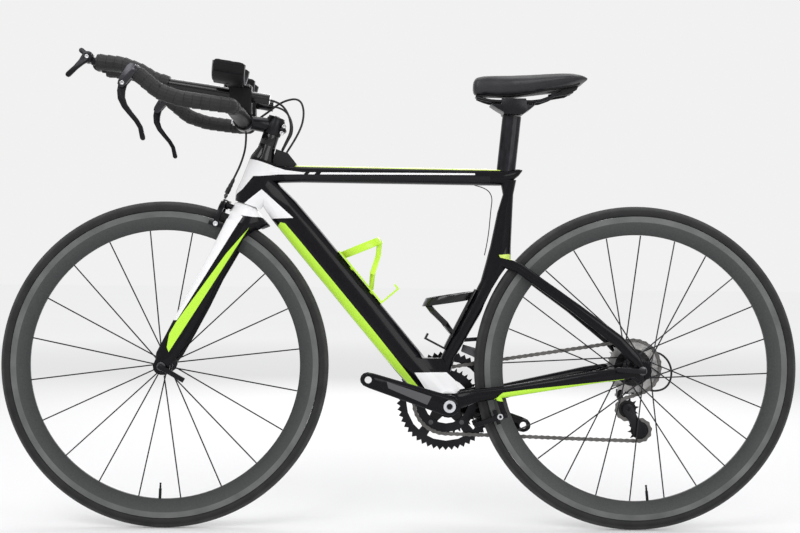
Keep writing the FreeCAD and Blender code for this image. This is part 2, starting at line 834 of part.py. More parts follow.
def cable_fairing(frame_shape):
    """Wedge on the top tube, just behind the headset, with a flat top where the cables go into the frame."""
    top = head_tube_top
    rise = FAIRING_RISE
    outline = [(rise, 20.0), (rise, 46.0), (rise * 0.5, 69.0), (-8.0, 64.0), (-8.0, 22.0)]
    wedge = plate([steer(top + h, r) for h, r in outline], -12.0, 12.0)
    room = lathe(
        steer_foot, STEER,
        [(top - 20.0, d.cover_radius + 5.0), (cover_foot, d.cover_radius + d.steering_gap),
         (cover_foot + d.cover_height * 0.75, d.spacer_radius + 0.5 + d.steering_gap),
         (top + 80.0, d.spacer_radius + 0.5 + d.steering_gap)],
    )
    shaped("top_tube_fairing", wedge.cut(room).cut(frame_shape))


# Fork


def fork():
    """Carbon fork: steerer, aero crown that fairs into the down tube, deep blades and dropouts."""
    top = crown_top
    crown_stations = [
        (top, 2.0, 27.0, 24.5),
        (top - 19.0, 8.0, 34.0, 27.0),
        (top - 33.0, 14.0, 46.0, 34.0),
        (top - 53.0, 2.0, 34.0, 39.0),
        (top - 75.0, -6.0, 27.0, 40.0),
    ]
    crown = loft([oval(steer(h, r), BEHIND, ACROSS, a, b) for h, r, a, b in crown_stations])
    half_gap = d.front_dropout_gap / 2
    blade_stations = [
        (top - 46.0, -27.0, 22.0, 28.5, 10.5),
        (top - 101.0, -34.0, 15.0, 30.5, 10.5),
        (top - 171.0, -45.0, 0.5, 33.5, 10.0),
        (top * 0.377, -55.0, -7.5, 37.5, 9.5),
        (top * 0.202, -64.0, -19.0, 45.0, 8.5),
        (23.0, -71.0, -30.0, half_gap + 4.0, 6.0),
        (-4.0, -66.0, -40.0, half_gap + 4.5, 4.2),
    ]
    leg = loft(
        [oval(steer(h, (a + b) / 2, y), BEHIND, ACROSS, (b - a) / 2, w) for h, a, b, y, w in blade_stations]
    )
    dropout = across_peg(front_axle, 17.0, half_gap, half_gap + d.dropout_thickness, 20)
    inner_room = across_peg(front_axle, 40.0, -half_gap, half_gap, 20)
    whole = crown.common(steering_bowl(0.0, False))
    whole = whole.multiFuse([leg, mirrored(leg), dropout, mirrored(dropout)])
    whole = whole.cut(wheel_slot(front_axle, d.tyre_width / 2 + d.tyre_gap)).cut(inner_room)
    steerer = peg(steer(top - 20.0, 0), steer(steerer_top, 0), d.steerer_radius)
    whole = whole.cut(axle_slot(front_axle, half_gap + 30.0)).cut(nut_recess(front_axle, d.front_dropout_gap))
    whole = whole.fuse(steerer)
    shaped("fork", whole)
    return whole


# Cockpit


def stem():
    """Stem with a clamp on the steerer and a clamp round the base bar."""
    low = steer(stem_bottom, 0)
    high = steer(stem_bottom + d.stem_clamp_height, 0)
    clamp = peg(low, high, d.stem_clamp_radius, 20)
    ears = across_peg(steer(stem_middle, d.stem_clamp_radius + 2.0), 6.0, -13.0, 13.0, 10)
    barrel = across_peg(bar, d.bar_clamp_radius + d.stem_wall, -d.stem_half_width, d.stem_half_width, 20)
    start = steer(stem_middle, -6.0)
    run = bar - start
    over = V(-run.z, 0, run.x).normalize()
    spine = loft([oval(start, over, ACROSS, 15.5, 17.0), oval(start + run * 0.8, over, ACROSS, 14.5, 19.0)])
    whole = clamp.multiFuse([ears, barrel, spine])
    whole = whole.cut(socket(low - STEER * 5, high + STEER * 5, d.steerer_radius + d.running_gap))
    whole = whole.cut(socket(bar - ACROSS * 60.0, bar + ACROSS * 60.0, d.bar_clamp_radius + d.running_gap))
    shaped("stem", whole)


def bullhorn_points():
    """Route of the right bullhorn, from the wing's end round to the forward tip."""
    wide = d.bar_half_width
    offsets = [
        (-6.0, wide - 45.0, 8.0),
        (-9.0, wide - 16.0, 9.0),
        (-38.0, wide - 2.0, 11.0),
        (-102.0, wide, 19.0),
        (-142.0, wide, 32.0),
        (-184.0, wide, 67.0),
    ]
    return [bar + V(x, y, z) for x, y, z in offsets]


def base_bar():
    """Wing shaped base bar, round where the stem clamps it, with taped and upturned bullhorns."""
    points = bullhorn_points()
    root = points[0]
    bare = d.bullhorn_radius - 2.4
    sides = [
        (root + (points[1] - root) * 0.3, bare, bare),
        (root, bare, bare),
        (bar + (root - bar) * 0.82, 18.0, 10.5),
        (bar + (root - bar) * 0.36, 19.0, 11.0),
        (bar + V(0, d.stem_half_width + 4.0, 0), d.bar_clamp_radius, d.bar_clamp_radius),
    ]
    sections = [oval(V(at.x, -at.y, at.z), REARWARD, UP, deep, tall) for at, deep, tall in sides]
    sections += [oval(at, REARWARD, UP, deep, tall) for at, deep, tall in reversed(sides)]
    wing = loft(sections)
    horn = tube(points, d.bullhorn_radius, UP)
    whole = wing.multiFuse([horn, mirrored(horn)])
    shaped("base_bar", whole)
    return whole


def extension_points():
    """Route of the right aero extension, from its rear end to the shifter; taped from the third point."""
    offsets = [(56.0, 38.0), (-70.0, 58.0), (-147.0, 68.2), (-176.0, 76.0), (-207.0, 94.0), (-242.0, 106.0),
               (-292.0, 111.0)]
    return [bar + V(x, d.extension_spread, z) for x, z in offsets]


def extensions():
    """Aero extensions, bare where the brackets clamp them and taped in front."""
    points = extension_points()
    bare = tube(points[:2] + [points[2] + V(-4.0, 0, 0.7)], d.extension_radius, ACROSS)
    grip = tube(points[2:], d.extension_radius + d.extension_tape, ACROSS)
    both_sides("extensions", bare.fuse(grip))


def pad_frame():
    """Middle of the right arm pad's trough, its forward direction and its upward direction."""
    tilt = math.radians(d.pad_tilt)
    forward = V(-math.cos(tilt), 0, math.sin(tilt))
    upward = V(math.sin(tilt), 0, math.cos(tilt))
    foot = bar + V(-22.0, d.pad_spread, 60.0)
    return foot + upward * (d.pad_radius + d.cup_thickness + d.turning_gap), forward, upward


def trough_section(offset, inner, outer, open_angle, steps=8):
    """Section of a trough that is open at the top, at an offset along the right arm pad."""
    centre, forward, upward = pad_frame()
    middle = centre + forward * offset
    corners = []
    for radius, order in ((outer, range(steps + 1)), (inner, range(steps, -1, -1))):
        for k in order:
            turn = math.radians(open_angle + (180.0 - 2 * open_angle) * k / steps)
            corners.append(middle + ACROSS * (radius * math.cos(turn)) - upward * (radius * math.sin(turn)))
    return corners


def armrests(bar_shape):
    """Brackets that stand on the base bar, clamp the extensions and carry the arm cups; soft pads."""
    points = extension_points()
    pole = tube(points[:3], d.extension_radius + d.running_gap, ACROSS)
    spread = d.extension_spread
    column = block(bar + V(-24.0, spread - 15.0, 9.0), bar + V(20.0, spread + 15.0, 66.0))
    lifted = bar_shape.copy()
    lifted.translate(UP * d.seat_gap)
    top = bar + V(-4.0, spread - 14.0, 63.0)
    shelf = flat_bar(top, top + ACROSS * (d.pad_spread - spread + 24.0), 44.0, 6.0, UP)
    hold = d.pad_radius + d.turning_gap
    half = d.pad_length / 2 - 4.0
    cup = loft([trough_section(at, hold, hold + d.cup_thickness, 40.0) for at in (-half, half)])
    room = loft([trough_section(at, 1.0, hold, 1.0) for at in (-half - 20.0, half + 20.0)])
    rest = column.multiFuse([shelf, cup]).cut(pole).cut(room).cut(lifted)
    rest = max(rest.Solids, key=lambda solid: solid.Volume)
    left = max(mirrored(rest).cut(lifted).Solids, key=lambda solid: solid.Volume)
    shaped("armrest_brackets", Part.makeCompound([rest, left]))
    thin = d.pad_radius - d.pad_thickness
    half = d.pad_length / 2
    stations = [
        (-half, thin + 5.0, d.pad_radius - 1.5, 14.0),
        (-half + 6.0, thin, d.pad_radius, 10.0),
        (half - 6.0, thin, d.pad_radius, 10.0),
        (half, thin + 5.0, d.pad_radius - 1.5, 14.0),
    ]
    both_sides("arm_pads", loft([trough_section(*station) for station in stations]))


def brake_levers():
    """Lever bodies plugged into the bullhorn tips and the curved levers that swing in them."""
    wide = d.bar_half_width
    pivot = bar + V(-210.3, wide, 46.5)
    before, tip = bullhorn_points()[-2:]
    along = V(tip - before).normalize()
    plug = peg(tip + along * d.turning_gap, tip + along * 9.0, d.bullhorn_radius - 2.0, 12)
    cheeks = blade([(tip + along * 11.0, 10.5), (pivot, 9.0)], wide - 9.0, wide + 9.0)
    end_face = peg(tip - along * 60.0, tip + along * d.turning_gap, 3 * d.bullhorn_radius)
    room = d.brake_lever_thickness / 2 + d.turning_gap
    slot = blade([(pivot + V(5.0, 0, 4.0), 13.0), (pivot + V(-4.0, 0, -40.0), 16.0)], wide - room,
                 wide + room)
    hinge = across_peg(pivot, d.pivot_pin_radius, wide - 8.0, wide + 8.0, 10)
    both_sides("brake_lever_bodies", plug.fuse(cheeks).cut(end_face).cut(slot).fuse(hinge))
    stations = [(0, 0, 8.0), (-3.0, -14.0, 7.6), (-2.5, -28.0, 6.8), (4.0, -43.0, 5.6), (15.0, -57.0, 4.8),
                (26.0, -70.0, 4.5), (34.0, -83.0, 4.5), (38.5, -103.0, 4.8)]
    placed = [(pivot + V(x, 0, z) * d.brake_lever_scale, half) for x, z, half in stations]
    lever = blade(placed, wide - d.brake_lever_thickness / 2, wide + d.brake_lever_thickness / 2)
    hole = socket(pivot - ACROSS * 20, pivot + ACROSS * 20, d.pivot_pin_radius + d.running_gap, 10)
    lever = lever.cut(hole)
    shaped("brake_lever_right", lever)
    shaped("brake_lever_left", mirrored(lever))


def shifters():
    """Bar-end shifter bodies and their levers, the left one down and the right one up."""
    spread = d.extension_spread
    pivot = bar + V(-309.0, spread, 119.0)
    before, end = extension_points()[-2:]
    along = V(end - before).normalize()
    body = across_peg(pivot, 12.0, spread - 9.0, spread + 9.0, 14)
    plug = peg(end + along * d.turning_gap, end + along * 10.0, d.extension_radius - 3.0, 12)
    near = spread + 9.0 + d.turning_gap
    far = near + d.shift_lever_thickness
    hinge = across_peg(pivot, d.pivot_pin_radius, spread + 8.0, far, 10)
    both_sides("shifter_bodies", body.multiFuse([plug, hinge]))
    for label, rise, flip in (("shift_lever_left", -44.0, True), ("shift_lever_right", 40.0, False)):
        turn = math.radians(rise)
        way = V(-math.cos(turn), 0, math.sin(turn)) * d.shift_lever_length
        stations = [(pivot, 11.0), (pivot + way * 0.3, 6.5), (pivot + way * 0.6, 5.0), (pivot + way, 5.5)]
        hole = socket(pivot - ACROSS, pivot + ACROSS * 30.0, d.pivot_pin_radius + d.running_gap, 10)
        lever = blade(stations, near, far).cut(hole)
        shaped(label, mirrored(lever) if flip else lever)


# Brakes


def shoe(sign, level):
    """Brake block and its stud beside the rim, in the plane of a brake's arms."""
    face = sign * (d.rim_width / 2 + d.pad_gap)
    back = face + sign * 9.0
    half_length = d.shoe_length / 2
    half_height = d.shoe_height / 2
    pad = block(V(min(face, back), -half_length, level - half_height),
                V(max(face, back), half_length, level + half_height))
    return pad.fuse(peg(V(back - sign, 0, level), V(sign * 27.0, 0, level), 4.0, 8))


def brake_arm(stations, sign, level, place):
    half = d.brake_arm_thickness / 2
    arm = blade(stations, -half, half)
    at = stations[0][0]
    arm = arm.cut(socket(at - ACROSS * 20, at + ACROSS * 20, d.pivot_pin_radius + d.running_gap, 10))
    arm = arm.fuse(shoe(sign, level))
    arm.Placement = place
    return arm


def front_brake(fork_shape):
    """Side-pull brake on the front of the crown: bridge with two pivots and two curved arms."""
    height = crown_top - 21.0
    origin = steer(height, -46.0)
    level = math.sqrt(track_middle**2 - 6.0**2) - height
    place = FreeCAD.Placement(origin, FreeCAD.Rotation(ACROSS, BEHIND * -1, STEER, "XYZ"))
    half = d.brake_arm_thickness / 2
    back = -half - d.turning_gap
    centre_pivot = V(0, 0, 0)
    side_pivot = V(17.0, 0, 4.0)
    bridge = blade([(centre_pivot, 8.5), (side_pivot, 7.5)], back - 6.0, back)
    hinges = [across_peg(at, d.pivot_pin_radius, back - 1.0, half + 2.0, 10)
              for at in (centre_pivot, side_pivot)]
    bolt = across_peg(centre_pivot, 6.0, back - 26.0, back - 2.0, 10)
    bridge = bridge.multiFuse(hinges + [bolt])
    bridge.Placement = place
    seated = bridge.cut(fork_shape)
    shaped("front_brake_bridge", max(seated.Solids, key=lambda solid: solid.Volume))
    left = [(centre_pivot, 8.0), (V(-13.0, 0, -1.5), 6.5), (V(-23.0, 0, -8.0), 6.0),
            (V(-27.5, 0, -21.0), 5.5),
            (V(-26.0, 0, level), 5.5)]
    right = [(side_pivot, 7.0), (V(25.0, 0, -4.0), 6.0), (V(28.5, 0, -20.0), 5.5), (V(26.0, 0, level), 5.5)]
    shaped("front_brake_arm_left", brake_arm(left, -1, level, place))
    shaped("front_brake_arm_right", brake_arm(right, 1, level, place))


def rear_brake():
    """Brake under the chain stays: each arm swings on its own post and reaches in to the rim."""
    place = FreeCAD.Placement(
        rear_brake_middle, FreeCAD.Rotation(ACROSS, REAR_BRAKE_DOWN, REAR_BRAKE_OUT, "XYZ")
    )
    for label, sign in (("rear_brake_arm_left", -1), ("rear_brake_arm_right", 1)):
        pivot = V(sign * REAR_PIVOT_SPREAD, 0, -REAR_PIVOT_SETBACK)
        stations = [(pivot, 6.5), (V(sign * 28.0, 0, 2.0), 5.5), (V(sign * 26.5, 0, 26.0), 5.0),
                    (V(sign * 18.0, 0, 46.0), 4.5)]
        shaped(label, brake_arm(stations, sign, 0.0, place))


# Drive


def crank_direction(side):
    turn = math.radians(d.crank_angle)
    return V(side * math.cos(turn), 0, -side * math.sin(turn))


def crank_arm(side):
    """Hollow-forged arm: rounded sections from the spindle's boss to the pedal eye."""
    way = crank_direction(side)
    over = V(-way.z, 0, way.x)
    middle = side * (d.crank_inner_face + d.crank_thickness / 2)
    thick = d.crank_thickness / 2
    length = d.crank_length
    stations = [
        (-20.5, 7.0, 0.5), (-14.0, 15.5, 0.85), (-3.0, 20.5, 1.0), (12.0, 20.5, 1.0), (length * 0.55, 18.0,
                1.0),
        (length - 8.0, 15.8, 0.95), (length + 6.0, 14.2, 0.95), (length + 13.0, 9.5, 0.85), (length + 16.0,
                4.0, 0.6)
    ]
    sections = [oval(bracket + way * s + V(0, middle, 0), over, ACROSS, half, thick * t)
                for s, half, t in stations]
    inner = side * d.crank_inner_face
    boss_end = side * (d.bracket_shell_width / 2 + 4.0)
    near, far = sorted((boss_end, inner + side * 6.0))
    arm = loft(sections).fuse(across_peg(bracket, 22.0, near, far, 18))
    eye = bracket + way * length
    near, far = sorted((inner, inner + side * d.crank_thickness))
    arm = arm.fuse(across_peg(eye, d.pedal_boss_radius, near, far))
    return arm, drum(eye, d.pedal_hole_radius, near - 9.0, far + 9.0)


def spider_foot(i, radius):
    turn = math.radians(-d.crank_angle + 36.0 + 72.0 * i)
    return bracket + V(math.cos(turn), 0, math.sin(turn)) * radius


def cranks():
    """Left arm, and right arm with its five-arm spider and the spindle that joins them."""
    reach = d.crank_inner_face + 2.0
    arm, eye = crank_arm(-1)
    bore = peg(bracket - ACROSS * (reach + d.seat_gap), bracket, d.spindle_radius + d.seat_gap)
    shaped("crank_arm_left", arm.cut(bore).cut(eye))
    arm, eye = crank_arm(1)
    low = d.small_ring_line + d.ring_thickness / 2
    high = d.large_ring_line - d.ring_thickness / 2
    legs = [blade([(bracket, 19.0), (spider_foot(i, d.bolt_circle_radius), 8.0)], low, high)
            for i in range(5)]
    spindle = across_peg(bracket, d.spindle_radius, -reach, d.crank_inner_face)
    shaped("crank_arm_right", arm.multiFuse([spindle] + legs).cut(eye))


def chainrings(phases):
    """Large ring with tabs for the spider's bolts, and small ring, which the chain runs on."""
    half = d.ring_thickness / 2
    near = d.large_ring_line - half
    far = d.large_ring_line + half
    inner = pitch_radius(d.large_ring_teeth) - 17.0
    ring = toothed_plate(bracket, d.large_ring_teeth, 0.0, near, far, False)
    ring = ring.cut(across_peg(bracket, inner, near - 1.0, far + 1.0, 20))
    tabs = [blade([(spider_foot(i, d.bolt_circle_radius), 8.0), (spider_foot(i, inner + 3.0), 11.0)], near,
                  far)
            for i in range(5)]
    shaped("chainring_large", ring.multiFuse(tabs))
    near = d.small_ring_line - half
    far = d.small_ring_line + half
    ring = toothed_plate(bracket, d.small_ring_teeth, phases["ring"], near, far)
    shaped("chainring_small", ring.cut(across_peg(bracket, d.bolt_circle_radius - 8.0, near - 1.0,
            far + 1.0, 20)))


COG_TEETH = (28, 25, 23, 21, 19, 17, 15, 14, 13, 12, 11)
CORE_RADIUS = 17.0


def cassette(phases):
    """Eleven cogs on the freehub core, the largest next to the spokes."""
    start = d.right_flange_offset + d.flange_thickness / 2 + 2.0 + d.turning_gap
    end = d.rear_dropout_gap / 2 - d.turning_gap
    core = across_peg(rear_axle, CORE_RADIUS, start, end, 12)
    cogs = []
    for i, teeth in enumerate(COG_TEETH):
        line = d.largest_cog_line + i * d.cog_spacing
        half = d.cog_thickness / 2
        cogs.append(toothed_plate(rear_axle, teeth, phases["cog"], line - half, line + half, i == 0))
    bore = socket(rear_axle + ACROSS * start, rear_axle + ACROSS * end, d.axle_radius + d.running_gap)
    shaped("cassette", core.multiFuse(cogs).cut(bore))


guide_centre = rear_axle + V(-11.0, 0, -87.0)


def tension_point(angle):
    return guide_centre + V(math.cos(angle), 0, math.sin(angle)) * d.cage_length


def tangent(a, radius_a, b, radius_b):
    """Line that touches two circles in the XZ plane; signed radii choose the side and the crossing."""
    run = V(b.x - a.x, 0, b.z - a.z)
    normal = math.atan2(run.z, run.x) + math.pi / 2 + math.asin((radius_b - radius_a) / run.Length)
    way = V(math.cos(normal), 0, math.sin(normal))
    return V(a.x, 0, a.z) + way * radius_a, V(b.x, 0, b.z) + way * radius_b


def chain_loop(tension_centre):
    """Closed chain path as arcs round the four toothed wheels and the straight runs between them."""
    wheels = [
        (bracket, pitch_radius(d.small_ring_teeth), d.small_ring_line),
        (rear_axle, pitch_radius(COG_TEETH[0]), d.largest_cog_line),
        (guide_centre, -pitch_radius(d.pulley_teeth), d.largest_cog_line),
        (tension_centre, pitch_radius(d.pulley_teeth), d.largest_cog_line),
    ]
    runs = []
    for (a, radius_a, line_a), (b, radius_b, line_b) in zip(wheels, wheels[1:] + wheels[:1]):
        start, end = tangent(a, radius_a, b, radius_b)
        runs.append((V(start.x, line_a, start.z), V(end.x, line_b, end.z)))
    pieces = []
    for i, (centre, radius, line) in enumerate(wheels):
        arrive = runs[i - 1][1]
        leave = runs[i][0]
        start = math.atan2(arrive.z - centre.z, arrive.x - centre.x)
        end = math.atan2(leave.z - centre.z, leave.x - centre.x)
        sense = -math.copysign(1.0, radius)
        sweep = (sense * (end - start)) % (2 * math.pi)
        pieces.append((abs(radius) * sweep, ("arc", centre, abs(radius), start, sense, line)))
        pieces.append(((runs[i][1] - runs[i][0]).Length, ("run", runs[i][0], runs[i][1])))
    return pieces


def loop_point(pieces, distance):
    """Point on the chain path at a distance from its start."""
    for length, piece in pieces:
        if distance <= length:
            break
        distance -= length
    if piece[0] == "run":
        share = distance / length
        crossing = min(max((share - 0.2) / 0.6, 0.0), 1.0)
        run = piece[2] - piece[1]
        return piece[1] + V(run.x * share, run.y * crossing, run.z * share)
    kind, centre, radius, start, sense, line = piece
    turn = start + sense * distance / radius
    return V(centre.x + radius * math.cos(turn), line, centre.z + radius * math.sin(turn))


def chain_places(pieces, links):
    """Rollers one pitch apart round the path, and how far past the start the last link ends."""
    total = sum(length for length, piece in pieces)
    places = [loop_point(pieces, 0.0)]
    distance = 0.0
    for _ in range(links):
        step = d.chain_pitch
        for _ in range(5):
            ahead = loop_point(pieces, (distance + step) % total)
            step += d.chain_pitch - (ahead - places[-1]).Length
        distance += step
        places.append(loop_point(pieces, distance % total))
    return places[:links], distance - total


def closed_chain():
    """Cage angle at which a whole, even number of links closes the loop, and the roller places."""
    usual = chain_loop(tension_point(math.radians(-52.7)))
    links = 2 * round(sum(length for length, piece in usual) / d.chain_pitch / 2)
    low = math.radians(-95.0)
    high = math.radians(-10.0)
    for _ in range(30):
        angle = (low + high) / 2
        places, excess = chain_places(chain_loop(tension_point(angle)), links)
        if excess > 0:
            low = angle
        else:
            high = angle
    return angle, places


def roller_phase(places, centre, teeth):
    """Angle of a roller that lies on a wheel, so that the wheel's seats meet the rollers."""
    pitch = pitch_radius(teeth)
    near = sorted(places, key=lambda p: abs(math.hypot(p.x - centre.x, p.z - centre.z) - pitch))
    return math.atan2(near[0].z - centre.z, near[0].x - centre.x)


def chain(places):
    """Bush roller chain: rollers between inner plates, and outer plates that join the inner links."""
    inner_half = d.chain_inner_width / 2
    tall = d.chain_plate_height / 2
    pitch = d.chain_pitch
    outline = [V(-tall, 0, -tall), V(pitch + tall, 0, -tall), V(pitch + tall, 0, tall), V(-tall, 0, tall)]
    gap = 0.1
    pairs = []
    for first in (inner_half + d.chain_plate + gap, inner_half + gap / 2):
        near = plate(outline, first, first + d.chain_plate)
        pairs.append([near, mirrored(near)])
    roller = across_peg(ORIGIN, d.roller_radius, -inner_half, inner_half, 3)
    solids = []
    count = len(places)
    for i in range(count):
        way = V(places[(i + 1) % count] - places[i]).normalize()
        place = FreeCAD.Placement(places[i], FreeCAD.Rotation(way, ACROSS, way.cross(ACROSS), "XYZ"))
        for piece in pairs[i % 2] + [roller]:
            copy = piece.copy()
            copy.Placement = place
            solids.append(copy)
    shaped("chain", Part.makeCompound(solids))


# Derailleurs


def rear_derailleur(cage_angle, phases):
    """Hanger, body, two parallel links, lower knuckle, pulley cage and the two pulleys."""
    gap = d.turning_gap
    inside = d.rear_dropout_gap / 2
    eye = rear_axle + V(10.0, 0, -29.0)
    outside = inside + d.dropout_thickness
    hang = outside + 5.0
    hanger = blade([(rear_axle + V(3.0, 0, -6.0), 13.0), (eye, 9.5)], outside, hang)
    hanger = hanger.cut(across_peg(rear_axle, d.skewer_nut_radius + 0.6, inside, hang + 9.0))
    bolt_radius = 4.0
    hole = socket(eye + ACROSS * inside, eye + ACROSS * (hang + 9.0), bolt_radius + d.running_gap, 10)
    shaped("derailleur_hanger", hanger.cut(hole))
    deck = eye.z - 24.0
    link_half = 5.0
    link_radius = 4.6
    pin_radius = 2.3
    pivots = [V(eye.x + 3.0, y, deck) for y in (59.0, 73.0)]
    over = deck + link_half + gap
    face = hang + gap
    head = across_peg(eye, 10.0, face, face + 11.0, 14)
    bolt = across_peg(eye, bolt_radius, outside + 1.0, face + 4.0, 10)
    neck = block(V(eye.x - 4.0, face, over), V(eye.x + 9.0, face + 9.0, eye.z))
    shelf = block(V(eye.x - 3.0, pivots[0].y - 6.0, over), V(eye.x + 9.0, face + 9.0, over + 6.0))
    pins = [peg(at - UP * link_half, at + UP * (link_half + 2.0), pin_radius, 8) for at in pivots]
    shaped("rear_derailleur_body", head.multiFuse([bolt, neck, shelf] + pins))
    reach = V(-37.7, -18.5, 0)
    ends = [at + reach for at in pivots]
    for label, at, end in (("rear_derailleur_inner_link", pivots[0], ends[0]),
                           ("rear_derailleur_outer_link", pivots[1], ends[1])):
        link = blade([(V(0, 0, 0), link_radius), (V(reach.Length, 0, 0), link_radius)], -link_half, link_half)
        for x in (0.0, reach.Length):
            link = link.cut(socket(V(x, -20.0, 0), V(x, 20.0, 0), pin_radius + d.running_gap, 8))
        way = V(reach).normalize()
        link.Placement = FreeCAD.Placement(at, FreeCAD.Rotation(way, UP * -1, UP.cross(way), "XYZ"))
        shaped(label, link)
    line = d.largest_cog_line
    plate_gap = 5.5
    plate_thick = 2.0
    outer = line + plate_gap + plate_thick + gap
    under = deck - link_half - gap
    pins = [peg(at - UP * (link_half + 2.0), at + UP * link_half, pin_radius, 8) for at in ends]
    table = block(V(ends[0].x - 6.0, ends[0].y - 5.5, under - 5.0),
                  V(ends[0].x + 6.0, ends[1].y + 5.5, under))
    barrel = across_peg(guide_centre, 8.0, outer, outer + 18.0, 14)
    axle_pin = across_peg(guide_centre, 3.0, line - plate_gap, outer + 1.0, 10)
    strut = flat_bar(V(ends[0].x, outer + 10.0, under - 3.5), guide_centre + V(0, outer + 10.0, 0), 12.0,
                     13.0, ACROSS)
    shaped("rear_derailleur_knuckle", table.multiFuse(pins + [barrel, axle_pin, strut]))
    tension_centre = tension_point(cage_angle)
    spine = [(guide_centre, 12.0), (guide_centre + (tension_centre - guide_centre) * 0.5, 9.5),
             (tension_centre, 15.0)]
    near = line - plate_gap - plate_thick
    far = line + plate_gap
    cage = blade(spine, near, near + plate_thick)
    cage = cage.fuse(blade(spine, far, far + plate_thick))
    cage = cage.fuse(across_peg(tension_centre, 3.0, near, far + 1.0, 10))
    room = socket(guide_centre + ACROSS * (near - 1.0), guide_centre + ACROSS * (far + 9.0),
                  3.0 + d.running_gap, 10)
    shaped("rear_derailleur_cage", cage.cut(room))
    for label, centre in (("guide_pulley", guide_centre), ("tension_pulley", tension_centre)):
        wheel = toothed_plate(centre, d.pulley_teeth, phases[label], line - 1.0, line + 1.0)
        wheel = wheel.fuse(across_peg(centre, 8.0, line - plate_gap + gap, line + plate_gap - gap, 6))
        hole = socket(V(centre.x, line - 9.0, centre.z), V(centre.x, line + 9.0, centre.z),
                      3.0 + d.running_gap, 10)
        shaped(label, wheel.cut(hole))


def front_derailleur(frame_shape):
    """Block on the seat tube with a hinge pin, and a cage of two plates over the chain."""
    low = pitch_radius(d.large_ring_teeth) + d.roller_radius + 3.5
    lean = math.radians(58.0)

    def at(radius, degrees, across=0.0):
        turn = math.radians(degrees)
        return bracket + V(math.cos(turn) * radius, across, math.sin(turn) * radius)

    outline = [at(low, 74), at(low, 60), at(low, 47), at(low + 2, 34), at(low + 22, 33), at(low + 24, 45),
               at(low + 19, 60), at(low + 15, 74)]
    inner = d.small_ring_line - 9.5
    outer = inner + 13.5
    inside = plate(outline, inner - 1.5, inner)
    outside = plate(outline, outer, outer + 1.5)
    roof = peg(at(low + 15, 60, inner - 1.0), at(low + 15, 60, outer + 1.0), 2.5, 8)
    line = inner - 5.0
    hinge = at(low + 30, 58, line)
    way = V(math.sin(lean), 0, -math.cos(lean))
    out = V(math.cos(lean), 0, math.sin(lean))
    pin_radius = 2.0
    arm = flat_bar(hinge, at(low + 13, 58, inner - 2.5), 12.0, 4.0, ACROSS)
    barrel = peg(hinge - way * 8.0, hinge + way * 8.0, 4.5, 10)
    hole = socket(hinge - way * 30.0, hinge + way * 30.0, pin_radius + d.running_gap, 10)
    shaped("front_derailleur_cage", inside.multiFuse([outside, roof, arm, barrel]).cut(hole))
    ear = 8.0 + d.turning_gap
    shaft = peg(hinge - way * (ear + 4.0), hinge + way * (ear + 4.0), pin_radius, 10)
    ears = [peg(hinge + way * s * ear, hinge + way * s * (ear + 4.0), 5.0, 10) for s in (-1, 1)]
    backs = [flat_bar(hinge + way * s * (ear + 2.0), hinge + way * s * (ear + 2.0) + out * 18.0, 4.0, 8.0,
                      ACROSS)
             for s in (-1, 1)]
    seat = hinge + out * 16.0
    foot = flat_bar(seat - way * (ear + 4.0), seat + way * (ear + 4.0), 12.0, 8.0, ACROSS)
    reach = V(-64.0, 15.0 - line, -4.0)
    mount = flat_bar(seat + out * 2.0, seat + out * 2.0 + reach, 8.0, 7.0, ACROSS)
    body = shaft.multiFuse(ears + backs + [foot, mount]).cut(frame_shape)
    shaped("front_derailleur_body", max(body.Solids, key=lambda solid: solid.Volume))


# Bottle cages


def bottle_cage(label, foot, along, out, tilt, ring_height, frame_shape):
    """Cage bolted to a tube: base strip, tilted band round the bottle, wrapped struts and a toe."""
    strap = d.cage_strap
    grip = d.bottle_radius
    place = FreeCAD.Placement(foot, FreeCAD.Rotation(out, along.cross(out), along, "XYZ"))
    middle = strap + grip + 2.0
    base = block(V(0, -9.0, 0), V(strap, 9.0, 138.0))
    wall = peg(V(middle, 0, 0), V(middle, 0, 160.0), grip + strap)
    wall = wall.cut(peg(V(middle, 0, -1.0), V(middle, 0, 161.0), grip))
    slab = block(V(-90.0, -60.0, -7.0), V(90.0, 60.0, 7.0))
    slab.rotate(ORIGIN, ACROSS, tilt)
    slab.translate(V(middle, 0, ring_height))
    band = wall.common(slab)
    struts = []
    wrap = grip + strap * 0.5
    far_height = ring_height - grip * math.tan(math.radians(tilt))
    turns = [15.0, 65.0, 115.0, 166.0]
    for sign in (-1, 1):
        knots = []
        for k, degrees in enumerate(turns):
            turn = math.radians(degrees)
            height = far_height + (38.0 - far_height) * k / (len(turns) - 1)
            knots.append(V(middle + wrap * math.cos(turn), sign * wrap * math.sin(turn), height))
        for a, b in zip(knots, knots[1:]):
            middle_way = V((a.x + b.x) / 2 - middle, (a.y + b.y) / 2, 0)
            struts.append(flat_bar(a, b + (b - a) * 0.04, 9.0, strap, middle_way))
    toe = block(V(0, -9.0, 0), V(middle + 5.0, 9.0, strap))
    lip = block(V(middle + 5.0 - strap, -9.0, 0), V(middle + 5.0, 9.0, 12.0))
    bosses = [peg(V(-14.0, 0, z), V(1.0, 0, z), 5.0, 10) for z in (30.0, 94.0)]
    cage = base.multiFuse([band, toe, lip] + struts + bosses)
    cage.Placement = place
    seated = cage.cut(frame_shape)
    shaped(label, max(seated.Solids, key=lambda solid: solid.Volume))


